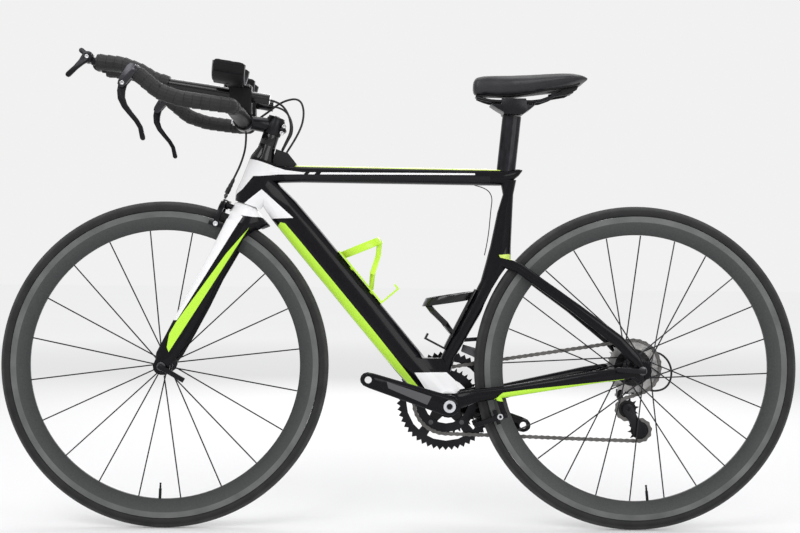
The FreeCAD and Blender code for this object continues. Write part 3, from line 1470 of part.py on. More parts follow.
def bottle_cages(frame_shape):
    along = V(down_tube_top - down_tube_foot).normalize()
    out = V(along.z, 0, -along.x)
    foot = down_tube_foot + along * 246.0 + out * (d.down_tube_depth / 2 + 1.0)
    bottle_cage("bottle_cage_down_tube", foot, along, out, 17.5, 114.0, frame_shape)
    along = V(0.457, 0, 0.8896).normalize()
    out = V(-along.z, 0, along.x)
    foot = bracket + V(-14.6, 0, 95.0) + along * 18.0 + out * 1.0
    bottle_cage("bottle_cage_seat_tube", foot, along, out, 36.0, 95.0, frame_shape)


# Saddle


def saddle_section(at, half, top, low):
    """Crowned section: flat base, drawn-in sides and a rounded top."""
    tall = top - low
    right = [(0.70, 0.0), (0.92, 0.22), (1.0, 0.5), (0.93, 0.76), (0.74, 0.92), (0.4, 0.99)]
    corners = [V(at, half * share, low + tall * rise) for share, rise in right]
    corners.append(V(at, 0, top))
    corners += [V(at, -half * share, low + tall * rise) for share, rise in reversed(right)]
    return corners


def saddle():
    """Padded cover on a shell, two rails, the clamp on the post and the bracket at the back."""
    head = post_point(post_height)
    nose = head.x - 83.0
    length = d.saddle_length
    high = d.saddle_height
    wide = d.saddle_width / 2
    slim = d.saddle_nose_width / 2
    stations = [
        (0.0, slim * 0.7, high - 11.0, high - 40.0),
        (0.03, slim * 0.95, high - 4.0, high - 42.0),
        (0.14, slim * 1.05, high - 2.0, high - 40.0),
        (0.34, slim * 1.2, high - 1.0, high - 40.5),
        (0.50, slim + (wide - slim) * 0.3, high, high - 35.0),
        (0.64, slim + (wide - slim) * 0.68, high + 1.0, high - 29.5),
        (0.80, wide * 0.97, high + 1.5, high - 23.5),
        (0.92, wide, high - 0.5, high - 17.5),
        (1.0, wide * 0.78, high - 6.5, high - 13.5),
    ]
    cover = loft([saddle_section(nose + length * t, w, top, low) for t, w, top, low in stations])
    shaped("saddle_cover", cover)
    sections = []
    for t, w, top, low in stations[1:-1]:
        at = nose + length * t
        half = w * 0.68
        upper = low - d.turning_gap
        lower = upper - 3.5
        corners = [V(at, -half, upper), V(at, half, upper), V(at, half * 0.9, lower),
                   V(at, -half * 0.9, lower)]
        sections.append(corners)
    shell = loft(sections)
    shaped("saddle_shell", shell)
    level = head.z + 27.5
    half = d.rail_spacing / 2
    rail_points = [
        V(head.x - 72.0, half * 0.45, high - 46.5),
        V(head.x - 46.0, half, level),
        V(head.x + 58.0, half, level),
        V(head.x + 98.0, half * 1.15, high - 34.0),
    ]
    rail = tube(rail_points, d.rail_radius, ACROSS, 10)
    rail = max(rail.cut(shell).cut(cover).Solids, key=lambda solid: solid.Volume)
    both_sides("saddle_rails", rail)
    side = half + 7.0
    outline = [(-24.0, 6.0), (-24.0, -8.0), (-19.0, -26.0), (19.5, -26.5), (30.0, -18.0), (26.0, 6.0)]
    cradle = plate([V(head.x + x, 0, level + z) for x, z in outline], -side, side)
    gap = block(V(head.x - 60, -half + 7.0, level - 9.0), V(head.x + 60, half - 7.0, level + 20.0))
    clamp = cradle.cut(gap).cut(post_body(d.seat_gap, post_height + d.seat_gap))
    for y in (-half, half):
        start = V(head.x - 60.0, y, level)
        clamp = clamp.cut(socket(start, start + REARWARD * 120.0, d.rail_radius + 0.5, 10))
    shaped("saddle_clamp", max(clamp.Solids, key=lambda solid: solid.Volume))
    back = head.x + 92.0
    outline = [(-14.0, 9.0), (-14.0, 21.0), (10.0, 27.0), (36.0, 34.0), (41.0, 32.0), (38.0, 25.0),
               (20.0, 15.0)]
    arm = plate([V(back + x, 0, level + z) for x, z in outline], half - 1.0, half + 5.0)
    cross = block(V(back + 20.0, -half, level + 19.0), V(back + 30.0, half, level + 23.0))
    mount = arm.multiFuse([mirrored(arm), cross])
    for tool in (rail, mirrored(rail), shell, cover):
        mount = mount.cut(tool)
    shaped("saddle_rear_bracket", mount)


# Cables


def cables():
    """Housings from the bars to the frame and the front brake, and those at the rear."""
    radius = d.housing_radius
    front = [
        bar + V(1.0, 31.0, -15.9), bar + V(2.0, 30.0, -46.0), bar + V(-8.0, 27.0, -84.0),
        steer(crown_top + 37.0, -46.0, 22.0), steer(crown_top + 1.0, -50.0, 19.0),
    ]
    high = head_tube_top + FAIRING_RISE
    mouth = steer(high + 0.9, 42.0)
    rear = [
        bar + V(17.0, 34.0, 3.0), bar + V(56.0, 27.0, 24.0), bar + V(96.0, 12.0, 34.0), bar + V(108.0, 2.0,
                -6.0),
        mouth,
    ]
    tail = extension_points()[0]
    mouth = steer(high + 1.0, 32.0, 7.0)
    shift = [
        tail + V(0.5, 0, 0), tail + V(22.0, -7.0, -8.0), tail + V(35.0, -24.0, -40.0), tail + V(28.0,
                -41.0, -74.0),
        mouth,
    ]
    runs = [cable(front, radius), cable(rear, radius), cable(shift, radius), mirrored(cable(shift, radius))]
    shaped("control_cables", Part.makeCompound(runs))
    wire = [
        bracket + V(52.0, 9.0, 451.0), bracket + V(80.0, 9.0, 437.0), bracket + V(85.0, 10.0, 404.0),
        bracket + V(79.0, 12.5, 358.0),
    ]
    loop = [
        rear_axle + V(17.0, 69.0, 10.2), rear_axle + V(52.0, 75.0, 26.0), rear_axle + V(90.0, 81.0, -6.0),
        rear_axle + V(66.0, 83.0, -44.0), rear_axle + V(19.5, 83.0, -41.0),
    ]
    shaped("frame_cables", Part.makeCompound([cable(wire, d.wire_radius), cable(loop, radius)]))


def build():
    for name, centre in (("front", front_axle), ("rear", rear_axle)):
        tyre(name + "_tyre", centre)
        rim(name + "_rim", centre)
    front_spokes()
    rear_spokes()
    hubs()
    axle("front_axle", front_axle, d.front_dropout_gap)
    axle("rear_axle", rear_axle, d.rear_dropout_gap)
    release_lever("front_release_lever", front_axle, d.front_dropout_gap, V(0.86, 0, -0.5))
    release_lever("rear_release_lever", rear_axle, d.rear_dropout_gap, V(-0.98, 0, 0.05))
    frame_shape = frame()
    bearings()
    headset()
    cable_fairing(frame_shape)
    fork_shape = fork()
    stem()
    bar_shape = base_bar()
    extensions()
    armrests(bar_shape)
    brake_levers()
    shifters()
    front_brake(fork_shape)
    rear_brake()
    cranks()
    cage_angle, places = closed_chain()
    phases = {
        "ring": roller_phase(places, bracket, d.small_ring_teeth),
        "cog": roller_phase(places, rear_axle, COG_TEETH[0]),
        "guide_pulley": roller_phase(places, guide_centre, d.pulley_teeth),
        "tension_pulley": roller_phase(places, tension_point(cage_angle), d.pulley_teeth),
    }
    chainrings(phases)
    cassette(phases)
    chain(places)
    rear_derailleur(cage_angle, phases)
    front_derailleur(frame_shape)
    bottle_cages(frame_shape)
    shaped("seatpost", post_body(0.0, post_height))
    saddle()
    cables()


def export():
    """Recompute, refuse anything broken, then write every sub-part."""
    doc.recompute()
    for obj in doc.Objects:
        if "Invalid" in obj.State or "Error" in obj.State:
            raise RuntimeError(f"{obj.Label} failed: {obj.State}")
    for obj in subparts:
        if obj.Shape.isNull() or not obj.Shape.isValid() or not obj.Shape.Solids:
            raise RuntimeError(f"{obj.Label} has no valid shape")
    os.makedirs("parts", exist_ok=True)
    for obj in subparts:
        obj.Shape.exportStep(f"parts/{obj.Label}.step")


build()
export()
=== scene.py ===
import json
import math

import bpy
from mathutils import Matrix, Vector

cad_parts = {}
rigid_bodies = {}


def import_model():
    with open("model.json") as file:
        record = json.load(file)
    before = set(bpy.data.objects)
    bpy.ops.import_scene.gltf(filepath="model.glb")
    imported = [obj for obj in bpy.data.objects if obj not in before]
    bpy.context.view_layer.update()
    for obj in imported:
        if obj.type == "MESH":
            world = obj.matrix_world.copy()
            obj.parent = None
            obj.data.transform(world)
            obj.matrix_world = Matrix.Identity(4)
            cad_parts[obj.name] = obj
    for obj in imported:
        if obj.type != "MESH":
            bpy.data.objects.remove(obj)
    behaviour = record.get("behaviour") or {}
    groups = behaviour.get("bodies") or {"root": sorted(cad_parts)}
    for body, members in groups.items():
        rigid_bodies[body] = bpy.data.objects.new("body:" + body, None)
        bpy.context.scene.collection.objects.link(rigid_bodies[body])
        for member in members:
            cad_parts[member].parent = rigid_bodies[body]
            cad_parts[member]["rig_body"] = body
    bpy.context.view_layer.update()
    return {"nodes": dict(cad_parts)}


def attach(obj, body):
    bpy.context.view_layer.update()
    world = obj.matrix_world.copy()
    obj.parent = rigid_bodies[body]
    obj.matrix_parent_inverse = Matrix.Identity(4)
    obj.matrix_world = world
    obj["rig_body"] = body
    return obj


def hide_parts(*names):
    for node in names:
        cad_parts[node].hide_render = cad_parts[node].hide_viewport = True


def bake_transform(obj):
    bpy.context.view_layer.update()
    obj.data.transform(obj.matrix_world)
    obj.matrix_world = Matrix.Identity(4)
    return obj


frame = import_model()

# Places on the bike, in metres: X to the rear wheel, Y to the drive side, Z up

ACROSS = Vector((0, 1, 0))
LEFT = Vector((0, -1, 0))
SIDES = (("left", -1), ("right", 1))
UPRIGHT = (math.pi / 2, 0, 0)
HALF_WHEELBASE = 0.485
WHEEL_RADIUS = 0.335
FRONT_AXLE = Vector((-HALF_WHEELBASE, 0, WHEEL_RADIUS))
REAR_AXLE = Vector((HALF_WHEELBASE, 0, WHEEL_RADIUS))
BOTTOM_BRACKET = Vector((0.09596, 0, 0.26))
BAR = Vector((-0.32877, 0, 0.83608))
STEER_FOOT = Vector((-0.43563, 0, 0.31867))
STEER = Vector((0.31399, 0, 0.94943))
BEHIND = Vector((0.94943, 0, -0.31399))
CRANK_SLOPE = math.radians(17.6)


def steer(along, behind, across=0.0):
    """Point beside the steering axis, in millimetres from the front axle's level."""
    return STEER_FOOT + STEER * (along / 1000) + BEHIND * (behind / 1000) + Vector((0, across / 1000, 0))


def on_side(sign, place):
    """A place that is given for the drive side, moved to the side of the sign."""
    x, y, z = place
    return Vector((x, sign * y, z))


# Helpers for modelling


def clear_selection():
    for other in bpy.context.view_layer.objects:
        other.select_set(False)


def leave_edit():
    bpy.ops.object.mode_set(mode="OBJECT")


def only(piece):
    """Deselect everything else and make the piece the one that operators act on."""
    if bpy.context.object and bpy.context.object.mode != "OBJECT":
        leave_edit()
    clear_selection()
    piece.select_set(True)
    bpy.context.view_layer.objects.active = piece


def edit_all(piece):
    """Go into edit mode with the whole mesh selected."""
    only(piece)
    bpy.ops.object.mode_set(mode="EDIT")
    bpy.ops.mesh.select_all(action="SELECT")


def place_in_scene(name, data):
    piece = bpy.data.objects.new(name, data)
    bpy.context.scene.collection.objects.link(piece)
    return piece


def fix_place(piece):
    """Put the piece's place, turn and scale into its mesh."""
    only(piece)
    bpy.ops.object.transform_apply(location=True, rotation=True, scale=True)


def apply_modifiers(piece):
    only(piece)
    for modifier in list(piece.modifiers):
        bpy.ops.object.modifier_apply(modifier=modifier.name)


def outward_normals(piece):
    edit_all(piece)
    bpy.ops.mesh.remove_doubles(threshold=0.00001)
    bpy.ops.mesh.normals_make_consistent(inside=False)
    leave_edit()


def smooth(piece, degrees):
    only(piece)
    bpy.ops.object.shade_smooth_by_angle(angle=math.radians(degrees))


def paint(piece, material):
    piece.data.materials.clear()
    piece.data.materials.append(material)


def copy_of(piece, name):
    return place_in_scene(name, piece.data.copy())


def skin(node, material, degrees=40.0, bevel=0.0, grow=0.0):
    """Merged copy of a solid that is smooth across the flats of its round stretches, with softened edges."""
    source = frame["nodes"][node]
    piece = copy_of(source, node + "_skin")
    only(piece)
    bpy.ops.mesh.customdata_custom_splitnormals_clear()
    edit_all(piece)
    bpy.ops.mesh.remove_doubles(threshold=0.00002)
    bpy.ops.mesh.dissolve_limited(angle_limit=math.radians(0.4))
    leave_edit()
    if grow:
        fuller = piece.modifiers.new("fuller", "DISPLACE")
        fuller.strength = grow
        fuller.mid_level = 0.0
        apply_modifiers(piece)
    if bevel:
        edge = piece.modifiers.new("soft_edges", "BEVEL")
        edge.width = bevel
        edge.segments = 2
        edge.limit_method = "ANGLE"
        edge.angle_limit = math.radians(degrees)
        edge.harden_normals = False
        apply_modifiers(piece)
    smooth(piece, degrees)
    paint(piece, material)
    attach(piece, source["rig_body"])
    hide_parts(node)


# Finishes

# How fast a masked zone begins at its edge, for each millimetre
MASK_EDGE = 2.5
# Range where most of a noise lies
MIDDLE = (0.3, 0.7)


class Finish:
    """A material and its node tree, with short ways to add nodes to it."""

    def __init__(self, name):
        self.material = bpy.data.materials.new(name)
        self.material.use_nodes = True
        self.tree = self.material.node_tree
        self.tree.nodes.clear()
        output = self.node("ShaderNodeOutputMaterial")
        self.shader = self.node("ShaderNodeBsdfPrincipled")
        self.link(self.shader.outputs[0], output.inputs[0])
        self.spot = self.node("ShaderNodeTexCoord").outputs["Object"]

    def node(self, kind, **settings):
        made = self.tree.nodes.new(kind)
        for key, value in settings.items():
            setattr(made, key, value)
        return made

    def link(self, start, end):
        self.tree.links.new(start, end)

    def math(self, operation, a, b=None, c=None, clamp=False):
        made = self.node("ShaderNodeMath", operation=operation, use_clamp=clamp)
        for socket, value in zip(made.inputs, (a, b, c)):
            if value is None:
                continue
            if isinstance(value, (int, float)):
                socket.default_value = value
            else:
                self.link(value, socket)
        return made.outputs[0]

    def dot(self, direction):
        made = self.node("ShaderNodeVectorMath", operation="DOT_PRODUCT")
        self.link(self.spot, made.inputs[0])
        made.inputs[1].default_value = direction
        return made.outputs["Value"]

    def noise(self, scale, detail, stretch=(1, 1, 1)):
        mapping = self.node("ShaderNodeMapping")
        mapping.inputs["Scale"].default_value = stretch
        self.link(self.spot, mapping.inputs["Vector"])
        made = self.node("ShaderNodeTexNoise")
        made.inputs["Scale"].default_value = scale
        made.inputs["Detail"].default_value = detail
        self.link(mapping.outputs[0], made.inputs["Vector"])
        return made.outputs["Fac"]

    def between(self, value, low, high, start=0.0, end=1.0):
        made = self.node("ShaderNodeMapRange")
        self.link(value, made.inputs["Value"])
        made.inputs["From Min"].default_value = low
        made.inputs["From Max"].default_value = high
        made.inputs["To Min"].default_value = start
        made.inputs["To Max"].default_value = end
        return made.outputs["Result"]

    def mix(self, share, a, b):
        made = self.node("ShaderNodeMix", data_type="RGBA")
        self.link(share, made.inputs["Factor"])
        for key, value in (("A", a), ("B", b)):
            socket = [s for s in made.inputs if s.name == key and s.type == "RGBA"][0]
            if isinstance(value, tuple):
                socket.default_value = value + (1.0,)
            else:
                self.link(value, socket)
        return [s for s in made.outputs if s.type == "RGBA"][0]

    def bump(self, height, strength, distance):
        made = self.node("ShaderNodeBump")
        made.inputs["Strength"].default_value = strength
        made.inputs["Distance"].default_value = distance
        self.link(height, made.inputs["Height"])
        self.link(made.outputs["Normal"], self.shader.inputs["Normal"])

    def colour(self, value):
        self.link(value, self.shader.inputs["Base Color"])

    def rough(self, value):
        self.link(value, self.shader.inputs["Roughness"])

    def set(self, **values):
        for key, value in values.items():
            self.shader.inputs[key.replace("_", " ")].default_value = value

    def beyond(self, distance, start, sharpness):
        """1 further out than the start and 0 nearer in; the edge between them is as sharp as asked."""
        return self.math("MULTIPLY_ADD", distance, sharpness, -sharpness * start, clamp=True)

    def inside(self, corners):
        """1 inside a convex outline drawn on the bike's side, in millimetres, and 0 outside it."""
        middle_x = sum(x for x, z in corners) / len(corners)
        middle_z = sum(z for x, z in corners) / len(corners)
        share = None
        for (x0, z0), (x1, z1) in zip(corners, corners[1:] + corners[:1]):
            length = math.hypot(x1 - x0, z1 - z0)
            across = Vector((z1 - z0, 0, x0 - x1)) / length
            if across.x * (middle_x - x0) + across.z * (middle_z - z0) < 0:
                across = -across
            reach = across.x * x0 + across.z * z0
            depth = self.dot(across * (1000 * MASK_EDGE))
            edge = self.math("ADD", depth, 0.5 - reach * MASK_EDGE, clamp=True)
            share = edge if share is None else self.math("MINIMUM", share, edge)
        return share


def shade(colour, by):
    return tuple(min(1.0, part * by) for part in colour)


def metal(name, colour, roughness, grain=(1, 1, 1), scale=260.0, wear=0.18):
    """Metal with fine brushed grain and slightly uneven polish."""
    made = Finish(name)
    cloud = made.noise(18.0, 4.0)
    lines = made.noise(scale, 2.0, grain)
    made.colour(made.mix(made.between(cloud, *MIDDLE), shade(colour, 1 - wear), shade(colour, 1 + wear)))
    made.rough(made.between(lines, 0.2, 0.8, roughness - 0.07, roughness + 0.09))
    made.bump(lines, 0.12, 0.0004)
    made.set(Metallic=1.0)
    return made.material


def plastic(name, colour, roughness, scale=900.0, strength=0.12, vary=0.15, coat=0.0, shine=0.25):
    """Moulded or painted surface with a fine texture and slight unevenness."""
    made = Finish(name)
    cloud = made.noise(25.0, 4.0)
    grain = made.noise(scale, 2.0)
    made.colour(made.mix(made.between(cloud, *MIDDLE), shade(colour, 1 - vary), shade(colour, 1 + vary)))
    made.rough(made.between(cloud, 0.25, 0.75, roughness - 0.05, roughness + 0.07))
    made.bump(grain, strength, 0.0002)
    made.set(Coat_Weight=coat, Coat_Roughness=0.06, Specular_IOR_Level=shine)
    return made.material


BLACK = (0.0035, 0.0035, 0.005)
CARBON_GREY = (0.012, 0.012, 0.015)
WHITE = (0.90, 0.90, 0.91)
LIME = (0.53, 0.89, 0.07)
PALE_LIME = (0.62, 0.80, 0.16)

# Colour zones as convex outlines on the bike's side, X and Z in millimetres

FRAME_ZONES = [
    (CARBON_GREY, [(-247, 727), (178, 728), (178, 703), (-236, 703)]),
    (WHITE, [(-380, 723), (-380, 775), (-316, 759), (-297.5, 754.5), (-256, 740.5), (-256, 726.8),
             (-295, 722.9)]),
    (WHITE, [(-295, 723), (-311, 710.4), (-331, 694), (-345, 677), (-380, 660), (-380, 723)]),
    (WHITE, [(-256, 740.5), (-242.9, 736), (-242.9, 727), (-256, 726.8)]),
    (WHITE, [(-242.9, 736), (-206.5, 731.9), (-206.4, 727.8), (-242.9, 727)]),
    (WHITE, [(-206.5, 732), (146.7, 734.1), (146.8, 730.6), (-206.4, 727.7)]),
    (BLACK, [(-205.2, 727), (-200.1, 733.4), (-190.9, 733.4), (-196.4, 727)]),
    (BLACK, [(-183.7, 727), (-177.6, 734), (-167.4, 734), (-172.4, 727)]),
    (PALE_LIME, [(-244, 743.8), (-7.3, 741.9), (209.6, 740.4), (214, 760), (-243, 760)]),
    (WHITE, [(-325, 667), (-290, 696), (-225, 638.3), (-283, 636), (-325, 640)]),
    (LIME, [(-252, 629.2), (-241.9, 627), (-214.4, 595.4), (-59, 410.2), (36, 293.1), (28, 270), (-76, 395),
            (-270, 600)]),
    (WHITE, [(26, 324), (92.5, 324.5), (128, 292), (112, 283), (54, 283)]),
    (LIME, [(187.9, 269.7), (206.7, 285.1), (250.9, 292.2), (449.1, 318.2), (449.1, 296), (251, 262)]),
    (PALE_LIME, [(198, 566.8), (218.8, 569), (239, 559.5), (227.2, 555.7), (200.3, 561.6)]),
]
CRANK_ZONES = [((0.10, 0.10, 0.105), [(-31.2, 309.1), (59.6, 279.7), (50.9, 262.9), (-27.9, 295.9)])]
FORK_ZONES = [
    (WHITE, [(-372, 639), (-372, 680), (-318, 671), (-302, 661), (-286, 641), (-289, 636.5), (-307, 639)]),
    (WHITE, [(-327, 639.5), (-456, 428), (-520, 430), (-440, 600), (-372, 672)]),
    (LIME, [(-314, 617), (-361.5, 560.5), (-426, 469), (-457.5, 424.5), (-470.5, 401), (-474.5, 374),
            (-470.5, 364)]),
]
# A blade's outer face lies further out than these lines: reach at the ground in millimetres, less slope for
# each metre up
BLADE_FACES = ((68.0, 68.6), (161.0, 111.4))


def lacquer(name, zones, ground=BLACK, weave_scale=520.0, outer_stripes=False):
    """Gloss paint over carbon: a dark ground with masked colour zones under one clear coat.

    Lime stripes on a fork lie on the outer faces of the blades only."""
    made = Finish(name)
    if outer_stripes:
        out = made.math("ABSOLUTE", made.dot((0, 1000.0, 0)))
        beyond = []
        for slope, reach in BLADE_FACES:
            line = made.math("ADD", made.dot((0, 0, slope)), -reach)
            beyond.append(made.math("ADD", out, line, clamp=True))
        outer = made.math("MINIMUM", *beyond)
    weave = made.noise(weave_scale, 3.0, (1, 1, 0.35))
    base = made.mix(made.between(weave, 0.35, 0.65), shade(ground, 0.6), shade(ground, 1.5))
    for colour, corners in zones:
        zone = made.inside(corners)
        if outer_stripes and colour == LIME:
            zone = made.math("MINIMUM", zone, outer)
        base = made.mix(zone, base, colour)
    made.colour(base)
    cloud = made.noise(14.0, 4.0)
    made.rough(made.between(cloud, *MIDDLE, 0.14, 0.22))
    made.bump(made.noise(70.0, 2.0), 0.03, 0.0006)
    made.set(Coat_Weight=0.1, Coat_Roughness=0.03, Specular_IOR_Level=0.1)
    return made.material


# Radii of the wheels' zones and of the sprockets' toothed ring, and how fine its turning lines are

# Between these radii the rim wall's painted shade lightens outwards
RIM_SHADE_RANGE = (0.268, 0.303)
BRAKE_TRACK = 0.3022
TREAD = (0.3255, 0.3305)
SPROCKET_RING = 0.0385
SPROCKET_LINES = 9000.0


def axle_distance(made, axle):
    """Distance from a wheel's axle, read on the wheel's side."""
    offset = made.node("ShaderNodeVectorMath", operation="SUBTRACT")
    made.link(made.spot, offset.inputs[0])
    offset.inputs[1].default_value = axle
    flat = made.node("ShaderNodeVectorMath", operation="MULTIPLY")
    made.link(offset.outputs[0], flat.inputs[0])
    flat.inputs[1].default_value = (1, 0, 1)
    length = made.node("ShaderNodeVectorMath", operation="LENGTH")
    made.link(flat.outputs[0], length.inputs[0])
    return length.outputs["Value"]


def rim_finish(name, axle):
    """Deep carbon rim: satin wall with painted shade, darker towards the spokes, and a paler brake track at
    its edge, partly its own worn tone and partly a painted highlight.
    """
    made = Finish(name)
    distance = axle_distance(made, axle)
    weave = made.noise(300.0, 2.0)
    cloud = made.noise(20.0, 4.0)
    # Painted shade: the wall is darkest by the spokes and lightest by the brake track
    shade_outward = made.between(distance, *RIM_SHADE_RANGE)
    dark = made.mix(shade_outward, (0.024, 0.025, 0.026), (0.054, 0.057, 0.056))
    light = made.mix(shade_outward, (0.034, 0.035, 0.036), (0.066, 0.069, 0.068))
    wall = made.mix(made.between(weave, *MIDDLE), dark, light)
    # The track's paler colour is partly its own worn tone and partly a painted highlight
    track = made.mix(made.between(cloud, *MIDDLE), (0.10, 0.104, 0.102), (0.15, 0.154, 0.152))
    made.colour(made.mix(made.beyond(distance, BRAKE_TRACK, 1400.0), wall, track))
    made.rough(made.between(cloud, *MIDDLE, 0.34, 0.46))
    made.bump(made.noise(600.0, 1.0), 0.08, 0.0003)
    made.set(Specular_IOR_Level=0.25)
    return made.material


def sprocket_finish(name, axle):
    """Sprocket steel: bright toothed ring with faint turning lines, and inside it a middle painted near black
    as shade between the cogs.
    """
    made = Finish(name)
    distance = axle_distance(made, axle)
    cloud = made.noise(60.0, 4.0)
    bright = made.mix(made.between(cloud, *MIDDLE), (0.20, 0.20, 0.20), (0.42, 0.41, 0.40))
    # Painted shade: the steel inside the toothed ring is painted near black, as shade between the cogs
    shaded_middle = made.mix(made.between(cloud, *MIDDLE), (0.012, 0.012, 0.013), (0.035, 0.035, 0.036))
    made.colour(made.mix(made.beyond(distance, SPROCKET_RING, 1200.0), shaded_middle, bright))
    made.rough(made.between(cloud, *MIDDLE, 0.26, 0.42))
    lines = made.math("SINE", made.math("MULTIPLY", distance, SPROCKET_LINES))
    made.bump(lines, 0.12, 0.0003)
    made.set(Metallic=1.0)
    return made.material


def tyre_finish(name, axle):
    """Rubber tyre: dark side walls and a paler, slightly dusty tread, with a fine file pattern."""
    made = Finish(name)
    distance = axle_distance(made, axle)
    cloud = made.noise(30.0, 5.0)
    side = made.mix(made.between(cloud, *MIDDLE), (0.014, 0.014, 0.015), (0.028, 0.028, 0.029))
    tread = made.mix(made.between(cloud, *MIDDLE), (0.030, 0.030, 0.031), (0.062, 0.063, 0.062))
    made.colour(made.mix(made.between(distance, *TREAD), side, tread))
    made.rough(made.between(cloud, *MIDDLE, 0.55, 0.75))
    wave = made.node("ShaderNodeTexWave", wave_type="RINGS", rings_direction="SPHERICAL")
    wave.inputs["Scale"].default_value = 160.0
    made.link(made.spot, wave.inputs["Vector"])
    grain = made.math("ADD", made.noise(900.0, 2.0), made.math("MULTIPLY", wave.outputs["Fac"], 0.2))
    made.bump(grain, 0.25, 0.0006)
    made.set(Specular_IOR_Level=0.2)
    return made.material


def tape_finish(name):
    """Cork bar tape: matte pricked skin of slightly uneven black."""
    made = Finish(name)
    pores = made.noise(700.0, 2.0)
    cloud = made.noise(40.0, 4.0)
    made.colour(made.mix(made.between(cloud, *MIDDLE), (0.007, 0.007, 0.008), (0.017, 0.017, 0.018)))
    made.rough(made.between(pores, *MIDDLE, 0.5, 0.66))
    made.bump(pores, 0.5, 0.0005)
    made.set(Specular_IOR_Level=0.35)
    return made.material


def cloth_finish(name, colour, weave_scale):
    """Woven cover with crossed threads and a soft sheen."""
    made = Finish(name)
    heights = []
    for direction in ("X", "Y"):
        wave = made.node("ShaderNodeTexWave", wave_type="BANDS", bands_direction=direction)
        wave.inputs["Scale"].default_value = weave_scale
        wave.inputs["Distortion"].default_value = 0.4
        made.link(made.spot, wave.inputs["Vector"])
        heights.append(wave.outputs["Fac"])
    weave = made.math("MULTIPLY", heights[0], heights[1])
    cloud = made.noise(40.0, 4.0)
    made.colour(made.mix(made.between(weave, 0.0, 0.8), shade(colour, 0.7), shade(colour, 1.5)))
    made.rough(made.between(cloud, *MIDDLE, 0.75, 0.9))
    made.bump(weave, 0.4, 0.0005)
    made.set(Sheen_Weight=0.08, Sheen_Roughness=0.5, Specular_IOR_Level=0.15)
    return made.material


def leather_finish(name):
    """Smooth saddle cover: fine pebble grain with an uneven polish."""
    made = Finish(name)
    pebble = made.node("ShaderNodeTexVoronoi", feature="DISTANCE_TO_EDGE")
    pebble.inputs["Scale"].default_value = 620.0
    made.link(made.spot, pebble.inputs["Vector"])
    cloud = made.noise(22.0, 4.0)
    made.colour(made.mix(made.between(cloud, *MIDDLE), (0.006, 0.006, 0.008), (0.014, 0.014, 0.017)))
    made.rough(made.between(cloud, *MIDDLE, 0.32, 0.44))
    made.bump(made.between(pebble.outputs["Distance"], 0.0, 0.12), 0.18, 0.0003)
    made.set(Specular_IOR_Level=0.4)
    return made.material


frame_paint = lacquer("frame_lacquer", FRAME_ZONES)
fork_paint = lacquer("fork_lacquer", FORK_ZONES, outer_stripes=True)
post_paint = lacquer("seatpost_lacquer", [], ground=(0.013, 0.013, 0.016), weave_scale=90.0)
black_alloy = metal("black_anodised_alloy", (0.020, 0.020, 0.022), 0.32)
forged_black = plastic("forged_black_crank", (0.005, 0.005, 0.006), 0.24, scale=400.0, strength=0.05,
                       vary=0.2, coat=0.1, shine=0.15)
silver_alloy = metal("silver_alloy", (0.60, 0.61, 0.63), 0.30, (1, 6, 1))
steel = metal("bright_steel", (0.46, 0.46, 0.47), 0.28, (1, 8, 1))
chain_steel = metal("oiled_chain_steel", (0.13, 0.125, 0.12), 0.38)
dark_steel = metal("dark_steel", (0.085, 0.085, 0.09), 0.3)
hood_grey = metal("brake_body_grey", (0.045, 0.045, 0.05), 0.26)
black_plastic = plastic("black_moulding", (0.009, 0.009, 0.010), 0.45, scale=700.0, strength=0.25, shine=0.18)
gloss_black = plastic("gloss_black_moulding", (0.006, 0.006, 0.007), 0.16, scale=500.0, strength=0.05,
                      vary=0.2, coat=0.3, shine=0.2)
lime_plastic = plastic("lime_cage_moulding", (0.56, 0.90, 0.05), 0.3, scale=500.0, strength=0.06, vary=0.08,
                       coat=0.3)
spoke_black = metal("black_spoke", (0.030, 0.030, 0.032), 0.3, (3, 3, 3))
housing_rubber = plastic("cable_housing", (0.012, 0.012, 0.013), 0.4, strength=0.1)
tape = tape_finish("bar_tape")
pad_cloth = cloth_finish("arm_pad_cover", (0.012, 0.012, 0.013), 260.0)
leather = leather_finish("saddle_leather")
piping_grey = plastic("pad_piping", (0.20, 0.20, 0.21), 0.6, strength=0.2)

# Solids that keep their shape: smooth skins in their own finish

